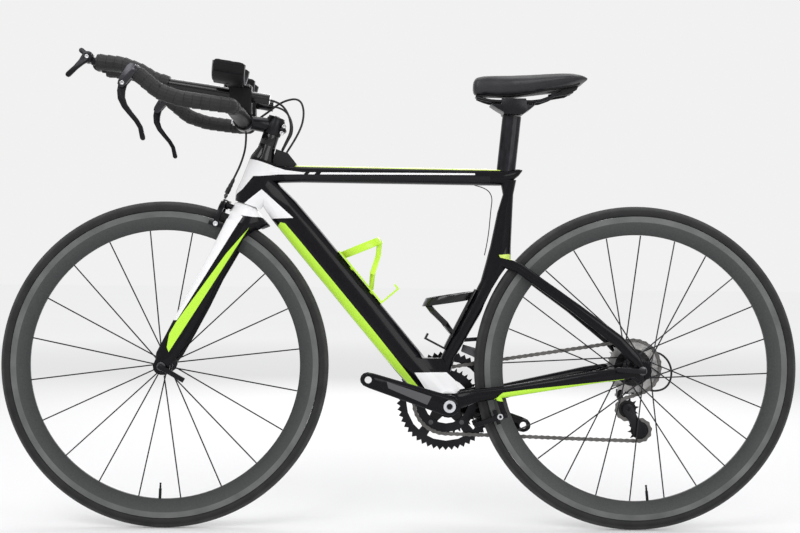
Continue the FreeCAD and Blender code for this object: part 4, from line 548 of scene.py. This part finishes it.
skin("frame", frame_paint, 56.0)
skin("fork", fork_paint, 56.0)
skin("seatpost", post_paint, 56.0)
for node, material, degrees, bevel in (
    ("headset_bearings", steel, 40, 0.0),
    ("bottom_bracket_bearings", steel, 40, 0.0),
    ("headset_spacers", gloss_black, 40, 0.0004),
    ("stem", black_alloy, 42, 0.0005),
    ("base_bar", black_plastic, 50, 0.0),
    ("extensions", gloss_black, 50, 0.0),
    ("armrest_brackets", black_plastic, 32, 0.0006),
    ("brake_lever_bodies", hood_grey, 40, 0.0008),
    ("shifter_bodies", black_alloy, 40, 0.0005),
    ("brake_lever_left", black_alloy, 38, 0.0012),
    ("brake_lever_right", black_alloy, 38, 0.0012),
    ("shift_lever_left", black_alloy, 38, 0.0010),
    ("shift_lever_right", black_alloy, 38, 0.0010),
    ("front_brake_bridge", black_alloy, 40, 0.0004),
    ("front_brake_arm_left", black_alloy, 40, 0.0008),
    ("front_brake_arm_right", black_alloy, 40, 0.0008),
    ("rear_brake_arm_left", black_alloy, 40, 0.0008),
    ("rear_brake_arm_right", black_alloy, 40, 0.0008),
    ("front_release_lever", black_alloy, 40, 0.0010),
    ("rear_release_lever", black_alloy, 40, 0.0010),
    ("front_axle", dark_steel, 40, 0.0004),
    ("rear_axle", dark_steel, 40, 0.0004),
    ("front_hub", black_alloy, 42, 0.0),
    ("rear_hub", black_alloy, 42, 0.0),
    ("crank_arm_left", lacquer("left_crank_lacquer", CRANK_ZONES), 48, 0.0006),
    ("crank_arm_right", forged_black, 48, 0.0006),
    ("chainring_large", black_alloy, 25, 0.0),
    ("chainring_small", black_alloy, 25, 0.0),
    ("cassette", sprocket_finish("sprocket_steel", REAR_AXLE), 35, 0.0),
    ("derailleur_hanger", black_alloy, 40, 0.0005),
    ("front_derailleur_body", black_alloy, 40, 0.0006),
    ("front_derailleur_cage", dark_steel, 40, 0.0004),
    ("rear_derailleur_body", dark_steel, 40, 0.0008),
    ("rear_derailleur_outer_link", dark_steel, 40, 0.0006),
    ("rear_derailleur_inner_link", black_alloy, 40, 0.0006),
    ("rear_derailleur_knuckle", black_alloy, 40, 0.0008),
    ("rear_derailleur_cage", black_alloy, 40, 0.0004),
    ("guide_pulley", black_plastic, 35, 0.0),
    ("tension_pulley", black_plastic, 35, 0.0),
    ("top_tube_fairing", black_plastic, 35, 0.0010),
    ("saddle_clamp", black_alloy, 35, 0.0008),
    ("saddle_rails", black_alloy, 50, 0.0),
    ("saddle_shell", black_plastic, 35, 0.0008),
    ("saddle_rear_bracket", black_plastic, 35, 0.0006),
    ("front_spokes", spoke_black, 30, 0.0),
    ("rear_spokes", spoke_black, 30, 0.0),
):
    skin(node, material, degrees, bevel)
skin("bottle_cage_down_tube", lime_plastic, 52.0, bevel=0.0006, grow=0.0009)
skin("bottle_cage_seat_tube", gloss_black, 52.0, bevel=0.0006, grow=0.0014)
skin("front_rim", rim_finish("front_rim_carbon", FRONT_AXLE), 12.0)
skin("rear_rim", rim_finish("rear_rim_carbon", REAR_AXLE), 12.0)

# Tyres

TYRE_SECTION = 0.0125
TYRE_FOOT = 0.3146


def tyre(node, axle, body):
    """Round tyre on the rim's bed: a ring with a flat foot."""
    clear_selection()
    bpy.ops.mesh.primitive_torus_add(
        location=axle, rotation=UPRIGHT, major_segments=160, minor_segments=24,
        major_radius=WHEEL_RADIUS - TYRE_SECTION, minor_radius=TYRE_SECTION,
    )
    piece = bpy.context.object
    piece.name = node + "_rubber"
    fix_place(piece)
    for corner in piece.data.vertices:
        out = Vector((corner.co.x - axle.x, 0, corner.co.z - axle.z))
        if out.length < TYRE_FOOT:
            corner.co += out.normalized() * (TYRE_FOOT - out.length)
    smooth(piece, 60)
    paint(piece, tyre_finish(node + "_rubber", axle))
    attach(piece, body)
    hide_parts(node)


tyre("front_tyre", FRONT_AXLE, "front_wheel_body")
tyre("rear_tyre", REAR_AXLE, "rear_wheel_body")

# Padded pieces: the saddle's cover and the arm pads

STUFFING_STEPS = 20


def stuffed(node, name, voxel, rounds, cap, material):
    """Cushion from a solid: its mesh made even, its edges rounded, then swelled by the stuffing."""
    source = frame["nodes"][node]
    piece = copy_of(source, name)
    outward_normals(piece)
    even = piece.modifiers.new("even_mesh", "REMESH")
    even.mode = "VOXEL"
    even.voxel_size = voxel
    apply_modifiers(piece)
    edit_all(piece)
    bpy.ops.mesh.vertices_smooth(factor=0.5, repeat=rounds)
    leave_edit()
    rest = [corner.co.copy() for corner in piece.data.vertices]
    cloth = piece.modifiers.new("stuffing", "CLOTH")
    cloth.settings.quality = 5
    cloth.settings.mass = 0.3
    cloth.settings.use_pressure = True
    cloth.settings.uniform_pressure_force = 4.0
    cloth.settings.effector_weights.gravity = 0.0
    cloth.collision_settings.use_collision = False
    for step in range(1, STUFFING_STEPS + 1):
        bpy.context.scene.frame_set(step)
    swelled = piece.evaluated_get(bpy.context.evaluated_depsgraph_get()).data
    places = [corner.co.copy() for corner in swelled.vertices]
    piece.modifiers.remove(cloth)
    bpy.context.scene.frame_set(1)
    for corner, before, after in zip(piece.data.vertices, rest, places):
        move = after - before
        corner.co = before + move * min(1.0, cap / max(move.length, 1e-9))
    finer = piece.modifiers.new("finer", "SUBSURF")
    finer.levels = 1
    finer.render_levels = 1
    apply_modifiers(piece)
    smooth(piece, 80)
    paint(piece, material)
    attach(piece, source["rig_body"])
    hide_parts(node)


stuffed("saddle_cover", "saddle_cover_leather", voxel=0.004, rounds=10, cap=0.002, material=leather)
stuffed("arm_pads", "arm_pad_cushions", voxel=0.003, rounds=5, cap=0.0012, material=pad_cloth)

PAD_TILT = math.radians(9.0)
PAD_MIDDLE = Vector((-0.34289, 0.110, 0.94577))
PAD_FORWARD = Vector((-math.cos(PAD_TILT), 0, math.sin(PAD_TILT)))
PAD_UP = Vector((math.sin(PAD_TILT), 0, math.cos(PAD_TILT)))
PAD_TROUGH = 0.0449
PAD_HALF_LENGTH = 0.0315
PIPING = 0.0013
PIPING_START = math.radians(16.0)
PIPING_STEPS = 12


def smooth_line(name, points):
    """Smooth open line along a route: the route's points are its control points."""
    line = bpy.data.curves.new(name, "CURVE")
    line.dimensions = "3D"
    line.resolution_u = 12
    spline = line.splines.new("NURBS")
    spline.points.add(len(points) - 1)
    for point, place in zip(spline.points, points):
        point.co = (place[0], place[1], place[2], 1.0)
    spline.order_u = 3
    spline.use_endpoint_u = True
    return place_in_scene(name, line)


def curve_to_mesh(piece, degrees):
    """Mesh of a curve that has a thickness, smooth where it bends less than the angle."""
    only(piece)
    bpy.ops.object.convert(target="MESH")
    made = bpy.context.object
    outward_normals(made)
    smooth(made, degrees)
    return made


def round_tube(name, points, radius):
    """Mesh tube along a smooth line, with closed ends."""
    piece = smooth_line(name, points)
    piece.data.bevel_depth = radius
    piece.data.bevel_resolution = 3
    piece.data.use_fill_caps = True
    return curve_to_mesh(piece, 50)


for side, sign in SIDES:
    for end, offset in (("front", PAD_HALF_LENGTH), ("rear", -PAD_HALF_LENGTH)):
        middle = on_side(sign, PAD_MIDDLE) + PAD_FORWARD * offset
        arc = []
        for k in range(PIPING_STEPS + 1):
            turn = PIPING_START + (math.pi - 2 * PIPING_START) * k / PIPING_STEPS
            arc.append(middle + (ACROSS * math.cos(turn) - PAD_UP * math.sin(turn)) * PAD_TROUGH)
        cord = round_tube(f"arm_pad_piping_{side}_{end}", arc, PIPING)
        paint(cord, piping_grey)
        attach(cord, "steering_body")

# Wound tape on the bullhorns and on the grips of the extensions

TAPE_STEP = 0.0011
TAPE_TURN = 15
TAPE_LOW = 1.01
TAPE_SWELL = 0.09
TAPE_EASING = 40

# Middle lines of the taped stretches, in millimetres from the bar's middle

BULLHORN = [(-5, 168, 7.8), (-9, 194, 9), (-38, 208, 11), (-102, 210, 19), (-142, 210, 32), (-183, 210, 66)]
BULLHORN_TAPE = 0.0144
GRIP = [(-148, 53, 68.4), (-176, 53, 76), (-207, 53, 94), (-242, 53, 106), (-291, 53, 110.9)]
GRIP_TAPE = 0.0151


def wound_tape(name, route, radius):
    """Tape sleeve along a bent tube: each turn swells towards its free edge and drops to the next one."""
    line = []
    for start, end in zip(route, route[1:]):
        count = max(1, round((end - start).length / TAPE_STEP))
        line += [start + (end - start) * (k / count) for k in range(count)]
    line.append(route[-1])
    for _ in range(TAPE_EASING):
        middle = [(a + b * 2 + c) / 4 for a, b, c in zip(line, line[1:], line[2:])]
        line = [line[0]] + middle + [line[-1]]
    curve = bpy.data.curves.new(name, "CURVE")
    curve.dimensions = "3D"
    curve.bevel_depth = radius
    curve.bevel_resolution = 5
    curve.use_fill_caps = True
    curve.twist_mode = "MINIMUM"
    spline = curve.splines.new("POLY")
    spline.points.add(len(line) - 1)
    for k, (point, place) in enumerate(zip(spline.points, line)):
        point.co = (place.x, place.y, place.z, 1.0)
        point.radius = TAPE_LOW + TAPE_SWELL * (k % TAPE_TURN) / (TAPE_TURN - 1)
    made = curve_to_mesh(place_in_scene(name, curve), 24)
    paint(made, tape)
    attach(made, "steering_body")


for side, sign in SIDES:
    for grasp, route, radius in (("bullhorn", BULLHORN, BULLHORN_TAPE), ("extension", GRIP, GRIP_TAPE)):
        places = [BAR + on_side(sign, place) / 1000 for place in route]
        wound_tape(f"{grasp}_tape_{side}", places, radius)

# Cables

HOUSING = 0.0022
WIRE = 0.001


def line_points(points):
    """Points read from the smooth line of a route."""
    line = smooth_line("route_reading", points)
    depsgraph = bpy.context.evaluated_depsgraph_get()
    mesh = bpy.data.meshes.new_from_object(line.evaluated_get(depsgraph))
    places = [corner.co.copy() for corner in mesh.vertices]
    bpy.data.objects.remove(line)
    bpy.data.meshes.remove(mesh)
    return places


def cable(name, route, radius, node, body, bend=None):
    """Housing or wire along its route; one that crosses the steering is left in place and joins neither body.
    """
    points = [Vector(place) / 1000 for place in route]
    path = line_points(points)
    piece = round_tube(name, points, radius)
    paint(piece, housing_rubber)
    if bend:
        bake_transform(piece)
    else:
        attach(piece, body)
    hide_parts(node)


TO_FAIRING = ((-0.245, 0, 0.845), (-0.245, 0, 0.778))
cable("front_brake_housing",
      [(-327.77, 31, 820.18), (-326.77, 30, 790.08), (-336.77, 27, 752.08), (-351.20, 22, 720.48),
       (-366.30, 19, 687.56)],
      HOUSING, "control_cables", "steering_body")
cable("rear_brake_housing",
      [(-311.77, 34, 839.08), (-284, 30, 858), (-252, 22, 882), (-216, 14, 888), (-205, 8, 858),
       (-214, 3, 815), (-240.99, 0, 773.46)],
      HOUSING, "control_cables", "steering_body", TO_FAIRING)
for side, sign in SIDES:
    cable(f"shift_housing_{side}",
          [(-272.27, sign * 53, 874.08), (-252, sign * 49, 870), (-235, sign * 38, 848),
           (-230, sign * 24, 818), (-241, sign * 11, 796), (-250.45, sign * 7, 776.69)],
          HOUSING, "control_cables", "steering_body", TO_FAIRING)
cable("front_derailleur_wire",
      [(147.96, 9, 711), (172, 9, 706), (186, 9, 688), (182.5, 10, 660), (178, 12, 600), (170.5, 13, 566)],
      WIRE, "frame_cables", "frame_body")
cable("rear_derailleur_housing",
      [(502, 69, 345.2), (526, 73, 362), (552, 77, 364), (575, 80, 344), (582, 82, 315), (572, 83, 288),
       (548, 84, 279), (524, 84, 284), (504.5, 83, 294)],
      HOUSING, "frame_cables", "frame_body")

# Bolts and other small hardware


def pick_faces(piece, direction):
    """Go into edit mode with only the faces that look along a direction selected."""
    only(piece)
    bpy.ops.object.mode_set(mode="EDIT")
    bpy.ops.mesh.select_mode(type="FACE")
    bpy.ops.mesh.select_all(action="DESELECT")
    leave_edit()
    for face in piece.data.polygons:
        face.select = face.normal.dot(Vector(direction)) > 0.99
    bpy.ops.object.mode_set(mode="EDIT")


def draw_out(height):
    bpy.ops.mesh.extrude_region_move(TRANSFORM_OT_translate={"value": (0, 0, height)})


def draw_across(width):
    bpy.ops.mesh.extrude_region_move(TRANSFORM_OT_translate={"value": (0, width, 0)})


def cylinder(name, sides, radius, height):
    """Upright cylinder that stands on the origin."""
    clear_selection()
    bpy.ops.mesh.primitive_cylinder_add(
        vertices=sides, radius=radius, depth=height, location=(0, 0, height / 2),
    )
    piece = bpy.context.object
    piece.name = name
    fix_place(piece)
    return piece


def flat_piece(name, outline, side):
    """Face with an outline of X and Z, beside the bike's middle."""
    clear_selection()
    bpy.ops.mesh.primitive_circle_add(vertices=len(outline), fill_type="NGON", rotation=UPRIGHT)
    piece = bpy.context.object
    piece.name = name
    fix_place(piece)
    for corner, (x, z) in zip(piece.data.vertices, outline):
        corner.co = (x, side, z)
    return piece


def bolt_pattern():
    """Cap bolt of unit radius and unit height with a sunk key socket and an eased rim."""
    piece = cylinder("bolt_pattern", 20, 1, 1)
    pick_faces(piece, (0, 0, 1))
    bpy.ops.mesh.inset(thickness=0.48)
    draw_out(-0.55)
    leave_edit()
    rim = piece.modifiers.new("eased_rim", "BEVEL")
    rim.width = 0.09
    rim.segments = 2
    rim.limit_method = "ANGLE"
    apply_modifiers(piece)
    smooth(piece, 35)
    return piece


def valve_pattern():
    """Bare valve stem with a thin neck and a small nut at its tip, 34 mm long, upright from the origin."""
    piece = cylinder("valve_pattern", 14, 0.003, 0.022)
    pick_faces(piece, (0, 0, 1))
    bpy.ops.mesh.inset(thickness=0.0009)
    draw_out(0.007)
    bpy.ops.mesh.inset(thickness=0.0008)
    draw_out(0.002)
    bpy.ops.transform.resize(value=(1.7, 1.7, 1.0), center_override=(0, 0, 0.031))
    draw_out(0.003)
    leave_edit()
    outward_normals(piece)
    smooth(piece, 35)
    return piece


def set_copy(pattern, name, place, way, size, body, material):
    """Copy of a pattern at a place, pointing along a way."""
    twin = copy_of(pattern, name)
    turn = Vector(way).to_track_quat("Z", "Y").to_matrix().to_4x4()
    twin.data.transform(Matrix.Translation(Vector(place)) @ turn @ Matrix.Diagonal((*size, 1.0)))
    paint(twin, material)
    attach(twin, body)


bolts = bolt_pattern()


def bolt(name, place, way, radius, height, body, material):
    set_copy(bolts, name, place, way, (radius, radius, height), body, material)


# Seats of the bolts and valves, in metres; along the steerer in millimetres

CRANK_BOLT_SEAT = 0.0705
# Seat of a dark disc in the left crank bolt's socket, painted shade for the socket's depth
CRANK_SOCKET_SHADE_SEAT = 0.0723
CHAINRING_BOLTS = 5
CHAINRING_BOLT_CIRCLE = 0.055
CHAINRING_FACE = 0.040
FACE_PLATE = 0.0183
FACE_PLATE_BOLTS = ((0.00945, -0.016), (0.00945, 0.016), (-0.00945, -0.016), (-0.00945, 0.016))
STEERER_CLAMP_BOLTS = (526.0, 541.0)
STEERER_CAP = 550.2
STEERER_CAP_BOLT = 553.4
VALVE_ROOT = 0.2775
LEVER_PIVOT = (-0.2103, 0.2188, 0.0465)
SHIFTER_PIVOT = (-0.309, 0.0680, 0.119)
SHOE_BOLT = (-0.382, 0.0308, 0.6245)
REAR_BRAKE_BOLT = (0.2019, -0.0335, 0.2361)

bolt("crank_bolt_left", BOTTOM_BRACKET + LEFT * CRANK_BOLT_SEAT, LEFT, 0.0125, 0.0035,
     "crank_body", silver_alloy)
bolt("crank_bolt_right", BOTTOM_BRACKET + ACROSS * CRANK_BOLT_SEAT, ACROSS, 0.0125, 0.003,
     "crank_body", silver_alloy)
for i in range(CHAINRING_BOLTS):
    turn = math.tau * (i + 0.5) / CHAINRING_BOLTS - CRANK_SLOPE
    foot = BOTTOM_BRACKET + Vector((math.cos(turn), 0, math.sin(turn))) * CHAINRING_BOLT_CIRCLE
    bolt(f"chainring_bolt_{i + 1}", foot + ACROSS * CHAINRING_FACE, LEFT, 0.0050, 0.0018,
         "crank_body", dark_steel)
for k, (along, across) in enumerate(FACE_PLATE_BOLTS):
    face = BAR - BEHIND * FACE_PLATE + STEER * along + ACROSS * across
    bolt(f"face_plate_bolt_{k + 1}", face, -BEHIND, 0.0042, 0.004, "steering_body", steel)
for k, along in enumerate(STEERER_CLAMP_BOLTS):
    bolt(f"steerer_clamp_bolt_{k + 1}", steer(along, 21.0, -12.5), LEFT, 0.0042, 0.004,
         "steering_body", steel)
bolt("steerer_cap", steer(STEERER_CAP, 0), STEER, 0.0172, 0.0045,
     "steering_body", gloss_black)
bolt("steerer_cap_bolt", steer(STEERER_CAP_BOLT, 0), STEER, 0.0048, 0.004, "steering_body", steel)
valves = valve_pattern()
for name, axle, degrees, body in (("front_valve", FRONT_AXLE, -91.85, "front_wheel_body"),
                                  ("rear_valve", REAR_AXLE, -84.1, "rear_wheel_body")):
    turn = math.radians(degrees)
    way = Vector((math.cos(turn), 0, math.sin(turn)))
    set_copy(valves, name, axle + way * VALVE_ROOT, -way, (1, 1, 1), body, black_alloy)
# A dark disc in the left crank bolt's key socket is painted shade for the socket's depth
bolt("crank_bolt_socket_shade_left", BOTTOM_BRACKET + LEFT * CRANK_SOCKET_SHADE_SEAT, LEFT, 0.0056, 0.0012,
     "crank_body", black_alloy)
for side, sign in SIDES:
    bolt(f"brake_lever_pivot_{side}", BAR + on_side(sign, LEVER_PIVOT), (0, sign, 0), 0.0042, 0.002,
         "steering_body", steel)
    bolt(f"shifter_pivot_{side}", BAR + on_side(sign, SHIFTER_PIVOT), (0, sign, 0), 0.0040, 0.002,
         "steering_body", steel)
    bolt(f"front_brake_shoe_bolt_{side}", on_side(sign, SHOE_BOLT), (0, sign, 0), 0.0050, 0.0045,
         f"front_brake_arm_{side}_body", silver_alloy)
bolt("rear_brake_bolt", REAR_BRAKE_BOLT, LEFT, 0.0062, 0.004,
     "rear_brake_arm_left_body", silver_alloy)
bpy.data.objects.remove(bolts)
bpy.data.objects.remove(valves)

# Saddle clamp's cradle, its outline in millimetres from the clamp's middle

CLAMP_X = 0.2233
CLAMP_Z = 0.882
CRADLE_OUTLINE = [(-47, -5.2), (-33, -14.5), (-15, -24.5), (20, -25), (35, -15), (47, -5.2)]
CRADLE_WIDTH = 0.055


def cradle():
    """Boat shaped cradle that carries the rails on both sides of the post's head."""
    outline = [(CLAMP_X + x / 1000, CLAMP_Z + z / 1000) for x, z in CRADLE_OUTLINE]
    piece = flat_piece("saddle_clamp_cradle", outline, -CRADLE_WIDTH / 2)
    edit_all(piece)
    draw_across(CRADLE_WIDTH)
    leave_edit()
    outward_normals(piece)
    edge = piece.modifiers.new("soft_edges", "BEVEL")
    edge.width = 0.003
    edge.segments = 3
    apply_modifiers(piece)
    smooth(piece, 40)
    paint(piece, black_alloy)
    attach(piece, "seatpost_body")


cradle()

# Chain

CHAIN_PITCH = 0.0127
PLATE_END = 0.0041
PLATE_WAIST = 0.0029
PLATE_THICKNESS = 0.0008
PLATE_STEPS = 13
ROLLER_CORNERS = 6

# Where the chain lies on the derailleur's pulleys

PULLEYS_FRONT = 0.445
PULLEYS_LOW = 0.1838
PULLEYS_HIGH = 0.272


def link_plates(name, inner_side):
    """Two waisted side plates of one link, from pin to pin."""
    outline = []
    for middle, start, waist in ((CHAIN_PITCH, -105.0, PLATE_WAIST), (0.0, 75.0, -PLATE_WAIST)):
        for k in range(PLATE_STEPS + 1):
            turn = math.radians(start + 210.0 * k / PLATE_STEPS)
            outline.append((middle + PLATE_END * math.cos(turn), PLATE_END * math.sin(turn)))
        outline.append((CHAIN_PITCH / 2, waist))
    piece = flat_piece(name, outline, inner_side)
    edit_all(piece)
    draw_across(PLATE_THICKNESS)
    bpy.ops.mesh.select_all(action="SELECT")
    bpy.ops.mesh.duplicate()
    bpy.ops.transform.mirror(constraint_axis=(False, True, False), center_override=(0, 0, 0))
    leave_edit()
    outward_normals(piece)
    return piece


def link_barrel(name, radius, half, sides):
    """Roller or pin across a link, with its ends sunk a little."""
    clear_selection()
    bpy.ops.mesh.primitive_cylinder_add(vertices=sides, radius=radius, depth=2 * half, rotation=UPRIGHT)
    piece = bpy.context.object
    piece.name = name
    fix_place(piece)
    for way in (-1, 1):
        pick_faces(piece, (0, way, 0))
        bpy.ops.mesh.inset(thickness=radius * 0.3)
        bpy.ops.transform.translate(value=(0, -way * 0.0002, 0))
        leave_edit()
    return piece


def join(pieces, name):
    only(pieces[0])
    for other in pieces[1:]:
        other.select_set(True)
    bpy.ops.object.join()
    made = bpy.context.object
    made.name = name
    return made


def roller_places():
    """Roller centres of the solid chain, in their order round the loop."""
    source = copy_of(frame["nodes"]["chain"], "chain_reading")
    outward_normals(source)
    only(source)
    bpy.ops.mesh.separate(type="LOOSE")
    places = []
    for part in list(bpy.context.selected_objects):
        if len(part.data.vertices) == ROLLER_CORNERS:
            places.append(sum((corner.co for corner in part.data.vertices), Vector()) / ROLLER_CORNERS)
        bpy.data.objects.remove(part)
    order = [places.pop(0)]
    while places:
        nearest = min(places, key=lambda place: (place - order[-1]).length)
        places.remove(nearest)
        order.append(nearest)
    return order


def on_pulleys(place):
    return place.x > PULLEYS_FRONT and PULLEYS_LOW < place.z < PULLEYS_HIGH


def chain():
    """Roller chain: inner links with rollers and outer links with pins, laid round the loop by turns.

    The links that lie on the two pulleys move with the derailleur's cage."""
    pin = link_barrel("outer_pin", 0.0018, 0.0031, 10)
    roller = link_barrel("inner_roller", 0.0038, 0.0011, 14)
    wide = join([link_plates("outer_plates", 0.0020), pin], "outer_link")
    narrow = join([link_plates("inner_plates", 0.00115), roller], "inner_link")
    places = roller_places()
    runs, wrap = [], []
    for i, place in enumerate(places):
        following = places[(i + 1) % len(places)]
        way = (following - place).normalized()
        side = (ACROSS - way * way.y).normalized()
        turn = Matrix((way, side, way.cross(side))).transposed().to_4x4()
        twin = copy_of((wide, narrow)[i % 2], f"link_{i + 1}")
        twin.data.transform(Matrix.Translation(place) @ turn)
        stretch = wrap if on_pulleys(place) and on_pulleys(following) else runs
        stretch.append(twin)
    bpy.data.objects.remove(wide)
    bpy.data.objects.remove(narrow)
    for links, name, body in ((runs, "chain_links", frame["nodes"]["chain"]["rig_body"]),
                              (wrap, "chain_pulley_links", "rear_derailleur_cage_body")):
        piece = join(links, name)
        smooth(piece, 35)
        paint(piece, chain_steel)
        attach(piece, body)
        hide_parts("chain")


chain()

# Cable boot and adjuster above the front brake

BOOT_FOOT = 0.001


def boot(name, places, radii, material):
    """Ribbed sleeve round a cable: rings of a tube drawn along the cable."""
    start, end = Vector(places[0]), Vector(places[1])
    piece = cylinder(name, 14, radii[0], BOOT_FOOT)
    pick_faces(piece, (0, 0, 1))
    step = ((end - start).length - BOOT_FOOT) / (len(radii) - 1)
    for before, after in zip(radii, radii[1:]):
        draw_out(step)
        share = after / before
        bpy.ops.transform.resize(value=(share, share, 1.0))
    leave_edit()
    turn = (end - start).to_track_quat("Z", "Y").to_matrix().to_4x4()
    piece.data.transform(Matrix.Translation(start) @ turn)
    smooth(piece, 50)
    paint(piece, material)
    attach(piece, "steering_body")


boot("front_brake_boot", ((-0.3512, 0.0215, 0.7190), (-0.3655, 0.0191, 0.6890)),
     (0.0030, 0.0040, 0.0036, 0.0046, 0.0042, 0.0052, 0.0048, 0.0050), housing_rubber)
boot("front_brake_adjuster", ((-0.3655, 0.0191, 0.6888), (-0.3688, 0.0180, 0.6782)),
     (0.0028, 0.0040, 0.0040, 0.0026, 0.0026), dark_steel)

# Stage, light and camera

FLOOR_SIZE = 60.0
FLOOR_DROP = 0.0005


def seen_rays(tree):
    """1 for what the eye sees, also mirrored or through a clear piece, and 0 for scattered light."""
    path = tree.nodes.new("ShaderNodeLightPath")
    seen = path.outputs["Is Camera Ray"]
    for ray in ("Is Glossy Ray", "Is Transmission Ray"):
        either = tree.nodes.new("ShaderNodeMath")
        either.operation = "MAXIMUM"
        tree.links.new(seen, either.inputs[0])
        tree.links.new(path.outputs[ray], either.inputs[1])
        seen = either.outputs[0]
    return seen


def studio_floor():
    """Pale matte floor with a painted glow that grows away from the bike, so that it runs into the backdrop.
    """
    clear_selection()
    bpy.ops.mesh.primitive_plane_add(size=FLOOR_SIZE, location=(0, 0, -FLOOR_DROP))
    floor = bpy.context.object
    floor.name = "studio_floor"
    made = Finish("pale_studio_floor")
    made.tree.nodes.remove(made.shader)
    seen = seen_rays(made.tree)
    matte = made.node("ShaderNodeBsdfDiffuse")
    cloud = made.noise(0.6, 2.0)
    made.link(made.mix(cloud, (0.78, 0.78, 0.79), (0.82, 0.82, 0.83)), matte.inputs["Color"])
    # Painted glow for seen rays: weak near the bike, stronger far from it
    glow = made.node("ShaderNodeEmission")
    away = made.node("ShaderNodeVectorMath", operation="LENGTH")
    made.link(made.spot, away.inputs[0])
    level = made.between(away.outputs["Value"], 0.6, 7.0, 0.1, 0.46)
    made.link(made.math("MULTIPLY", seen, level), glow.inputs["Strength"])
    both = made.node("ShaderNodeAddShader")
    made.link(matte.outputs[0], both.inputs[0])
    made.link(glow.outputs[0], both.inputs[1])
    output = [n for n in made.tree.nodes if n.type == "OUTPUT_MATERIAL"][0]
    made.link(both.outputs[0], output.inputs[0])
    paint(floor, made.material)


def studio_backdrop():
    """White surroundings, brighter to the eye than as a light."""
    world = bpy.data.worlds.new("studio")
    world.use_nodes = True
    tree = world.node_tree
    tree.nodes.clear()
    level = tree.nodes.new("ShaderNodeMapRange")
    level.inputs["To Min"].default_value = 0.5
    level.inputs["To Max"].default_value = 0.88
    tree.links.new(seen_rays(tree), level.inputs["Value"])
    backdrop = tree.nodes.new("ShaderNodeBackground")
    backdrop.inputs["Color"].default_value = (1.0, 1.0, 1.0, 1)
    tree.links.new(level.outputs["Result"], backdrop.inputs["Strength"])
    output = tree.nodes.new("ShaderNodeOutputWorld")
    tree.links.new(backdrop.outputs[0], output.inputs[0])
    bpy.context.scene.world = world


def lamp(name, place, target, size, power):
    light = bpy.data.lights.new(name, "AREA")
    light.shape = "RECTANGLE"
    light.size, light.size_y = size
    light.energy = power
    body = place_in_scene(name, light)
    body.location = place
    body.rotation_euler = (Vector(target) - Vector(place)).to_track_quat("-Z", "Y").to_euler()


PHOTO_WIDTH = 800.0
FOCAL_PIXELS = 1309.0
SENSOR_WIDTH = 36.0
EYE = (-0.0736, -2.7026, 0.541)
EYE_RIGHT = Vector((0.99963, -0.02535, 0.01023)).normalized()
EYE_AHEAD = Vector((0.02535, 0.9997, 0.0)).normalized()


def camera():
    eye = bpy.data.cameras.new("photo_view")
    eye.sensor_fit = "HORIZONTAL"
    eye.sensor_width = SENSOR_WIDTH
    eye.lens = FOCAL_PIXELS / PHOTO_WIDTH * SENSOR_WIDTH
    body = place_in_scene("photo_view", eye)
    turn = Matrix((EYE_RIGHT, EYE_RIGHT.cross(EYE_AHEAD), -EYE_AHEAD)).transposed()
    body.matrix_world = Matrix.Translation(EYE) @ turn.to_4x4()
    bpy.context.scene.camera = body


studio_floor()
studio_backdrop()
lamp("key_softbox", (-1.6, -2.6, 2.6), (0, 0, 0.5), (2.4, 1.6), 52.0)
lamp("fill_softbox", (1.9, -2.4, 1.6), (0.1, 0, 0.45), (2.0, 1.6), 30.0)
lamp("top_softbox", (0.0, 0.5, 3.2), (0, 0, 0.4), (3.0, 2.0), 36.0)
lamp("back_softbox", (0.3, 2.8, 1.8), (0, 0, 0.5), (2.4, 1.4), 22.0)
camera()
bpy.context.scene.view_settings.view_transform = "Standard"
